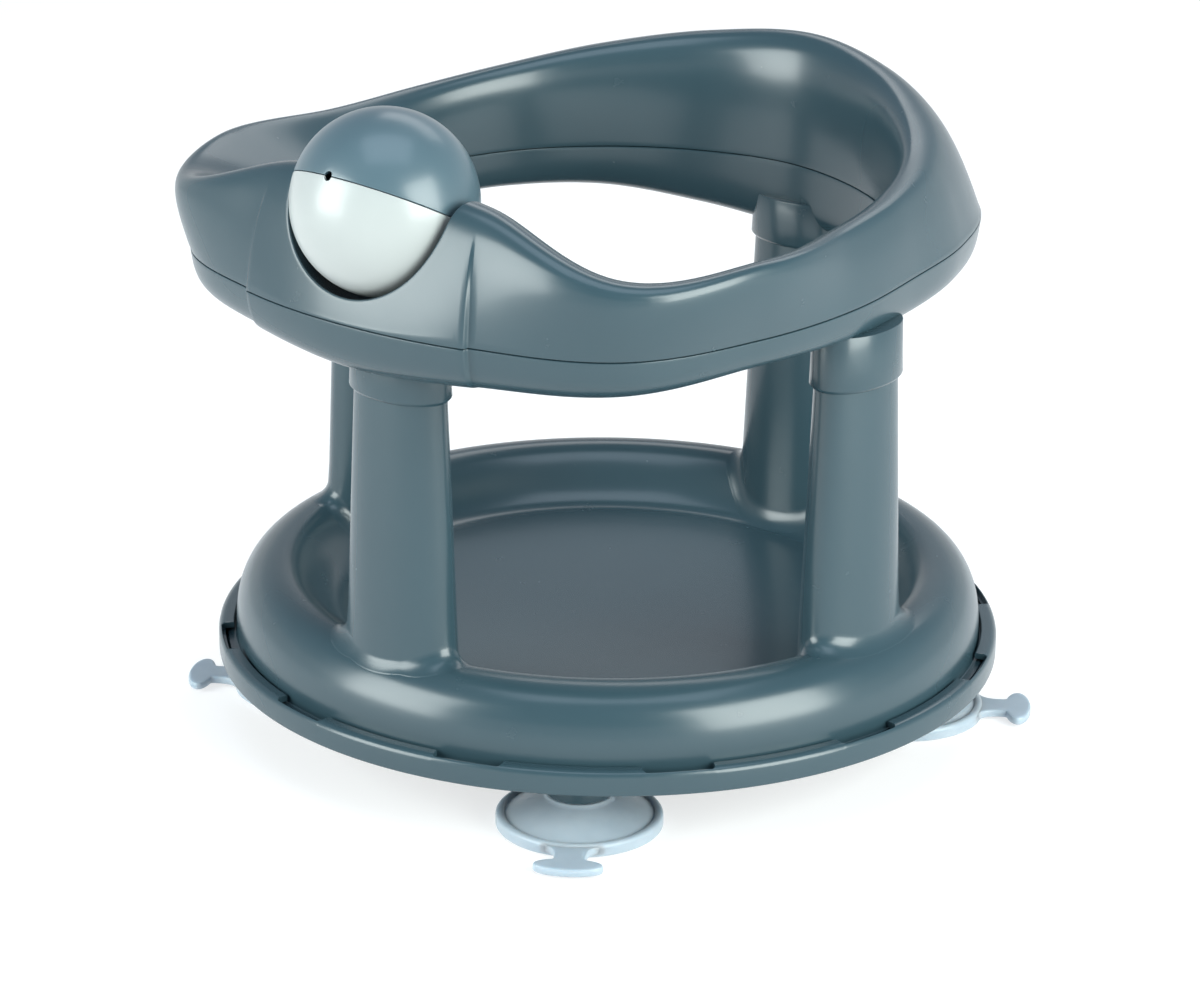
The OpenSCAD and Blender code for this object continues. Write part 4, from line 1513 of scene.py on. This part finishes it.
@dataclass
class Studio:
    """Pale floor, soft lights, an even sky and the camera at the photograph's place."""

    target: tuple[float, float, float] = (0.0, 0.0, 0.12)
    azimuth: float = 4.919
    elevation: float = 20.793
    roll: float = 0.492
    distance: float = 1.5908
    lens: float = 131.07
    sensor_width: float = 36.0
    view_range: tuple[float, float] = (0.05, 50.0)
    aim_side: float = -0.0032
    aim_height: float = 0.07905
    floor_r: float = 6.0
    floor_z: float = -0.0004
    sweep_start_r: float = 3.2
    sweep_h: float = 1.6
    paper_dark: tuple[float, float, float] = (0.39, 0.392, 0.395)
    paper_light: tuple[float, float, float] = (0.43, 0.431, 0.433)
    underlight: float = 0.64
    sky_strength: float = 0.85
    sky_overhead: float = 0.36
    sky_front: float = 0.1
    sky_tint: tuple[float, float, float] = (0.66, 0.81, 1.0)
    boxes: tuple[SoftBox, ...] = (
        SoftBox("left_box", -60.0, 17.0, 1.5, 0.9, 1.0, 27.0, (0.93, 1.0, 0.98)),
        SoftBox("right_box", 52.0, 19.0, 1.4, 1.0, 1.0, 34.0, (0.93, 1.0, 0.96)),
        SoftBox("top_box", 10.0, 82.0, 1.8, 1.5, 1.2, 13.0, (0.74, 0.86, 1.0)),
        SoftBox("back_box", 166.0, 42.0, 2.2, 1.6, 0.7, 8.0),
    )

    def floor(self) -> None:
        """Pale floor, a little lit from below, that rises in a smooth sweep far from the seat."""
        r = np.linspace(0.0, self.floor_r, 90)
        z = self.floor_z + self.sweep_h * ease((r - self.sweep_start_r) / (self.floor_r - self.sweep_start_r))
        grid = on_circle(r[None, :], z[None, :], full_turn(96)[:, None]) / MM
        shape = Moulding()
        shape.add(grid, loop_rows=True)
        plane = shape.build("studio_floor")
        made = bpy.data.materials.new("studio_paper")
        made.use_nodes = True
        book = ShaderBook(made.node_tree)
        shader = made.node_tree.nodes["Principled BSDF"]
        grain = book.noise(book.place(), 900.0, 3.0, 0.6)
        colour = book.blend(grain, self.paper_dark, self.paper_light)
        book.tree.links.new(colour.socket, shader.inputs["Base Color"])
        shader.inputs["Roughness"].default_value = 0.85
        shader.inputs["Emission Color"].default_value = (1.0, 1.0, 1.0, 1.0)
        shader.inputs["Emission Strength"].default_value = self.underlight
        plane.data.materials.append(made)

    def sky(self) -> None:
        """Light from all round: white behind the seat, dim overhead and dark on the camera's side."""
        world = bpy.data.worlds.new("studio_sky")
        bpy.context.scene.world = world
        world.use_nodes = True
        book = ShaderBook(world.node_tree)
        back = world.node_tree.nodes["Background"]
        way = book.node("ShaderNodeTexCoord", output="Generated")
        high = (book.node("ShaderNodeSeparateXYZ", None, {0: way}, 2) * 1.4).clamped(0.0, 1.0)
        behind = (book.node("ShaderNodeSeparateXYZ", None, {0: way}, 1) * 1.3 + 0.5).clamped(0.0, 1.0)
        level = (behind * (1.0 - self.sky_front) + self.sky_front) * (1.0 - high) + high * self.sky_overhead
        tint = book.blend(high, (1.0, 1.0, 1.0), self.sky_tint)
        settings = {"data_type": "RGBA", "blend_type": "MULTIPLY"}
        grey = book.blend(level, (0.0, 0.0, 0.0), (1.0, 1.0, 1.0))
        colour = book.node("ShaderNodeMix", settings, {0: 1.0, 6: grey, 7: tint}, 2)
        world.node_tree.links.new(colour.socket, back.inputs["Color"])
        back.inputs["Strength"].default_value = self.sky_strength

    def camera(self) -> None:
        """Camera at the photograph's angle, with its small roll.

        Its place comes from a fit to the base, the posts and the ring; the lens is in millimetres.
        """
        a = math.radians(self.azimuth)
        aim = np.array([self.aim_side * math.cos(a), self.aim_side * math.sin(a), self.aim_height])
        data = bpy.data.cameras.new("photo_camera")
        data.lens, data.sensor_width = self.lens, self.sensor_width
        data.clip_start, data.clip_end = self.view_range
        made = bpy.data.objects.new("photo_camera", data)
        bpy.context.scene.collection.objects.link(made)
        made.matrix_world = facing(aim, self.azimuth, self.elevation, self.distance, self.roll)
        bpy.context.scene.camera = made

    def build(self) -> None:
        """Floor, lights, sky and camera."""
        self.floor()
        for box in self.boxes:
            box.make(np.array(self.target))
        self.sky()
        self.camera()
        view = bpy.context.scene.view_settings
        view.view_transform = "Standard"
        view.look = "None"
        log.info("studio: %d soft boxes", len(self.boxes))


def srgb(red: int, green: int, blue: int) -> tuple[float, float, float]:
    """Linear colour of three eight-bit display values."""
    v = np.array([red, green, blue]) / 255.0
    return tuple(float(x) for x in np.where(v <= 0.04045, v / 12.92, ((v + 0.055) / 1.055) ** 2.4))


def main() -> None:
    """Build every sub-assembly in order, then the studio."""
    logging.basicConfig(level=logging.INFO, format="%(message)s")
    grey = srgb(45, 65, 73)
    shop = Workshop(
        {
            Slot.SHELL_GREY: GlossPlastic("shell_grey_plastic", grey),
            # The ball's grey is the shell's grey painted lighter: painted light standing in for the light that
            # the ball's upturned half catches
            Slot.BALL_GREY: GlossPlastic("ball_grey_painted_light_plastic", srgb(72, 92, 101), roughness=0.3),
            Slot.BALL_WHITE: GlossPlastic("ball_white_plastic", srgb(158, 163, 162), 0.02, 0.3),
            Slot.SUCTION_CUP: CupRubber("cup_rubber", srgb(176, 188, 197), srgb(154, 168, 180)),
            Slot.SCREW_STEEL: TurnedSteel("screw_steel"),
            Slot.PIN_STEEL: TurnedSteel("pin_steel"),
        }
    )
    shop.mount(BaseRing().moulding(), Body.BASE, Slot.SHELL_GREY, "base_ring")
    for number in range(1, 5):
        shop.mount(SuctionCup(number).moulding(), Body.BASE, Slot.SUCTION_CUP, f"suction_cup_{number}")
    shop.mount(SeatDish().moulding(), Body.SEAT, Slot.SHELL_GREY, "seat_dish")
    ring = BodyRing()
    shop.mount(ring.lower_moulding(), Body.SEAT, Slot.SHELL_GREY, "ring_lower_shell")
    shop.mount(ring.upper_moulding(), Body.SEAT, Slot.SHELL_GREY, "ring_upper_shell")
    ball = PlayBall()
    shop.mount(ball.moulding(1.0, "ball_upper_moulding"), Body.BALL, Slot.BALL_GREY, "ball_upper_half")
    shop.mount(ball.moulding(-1.0, "ball_lower_moulding"), Body.BALL, Slot.BALL_WHITE, "ball_lower_half")
    shop.dress_node("ring_screws", Slot.SCREW_STEEL)
    shop.dress_node("ball_pin_left", Slot.PIN_STEEL)
    shop.dress_node("ball_pin_right", Slot.PIN_STEEL)
    Studio().build()


if __name__ == "__main__":
    main()
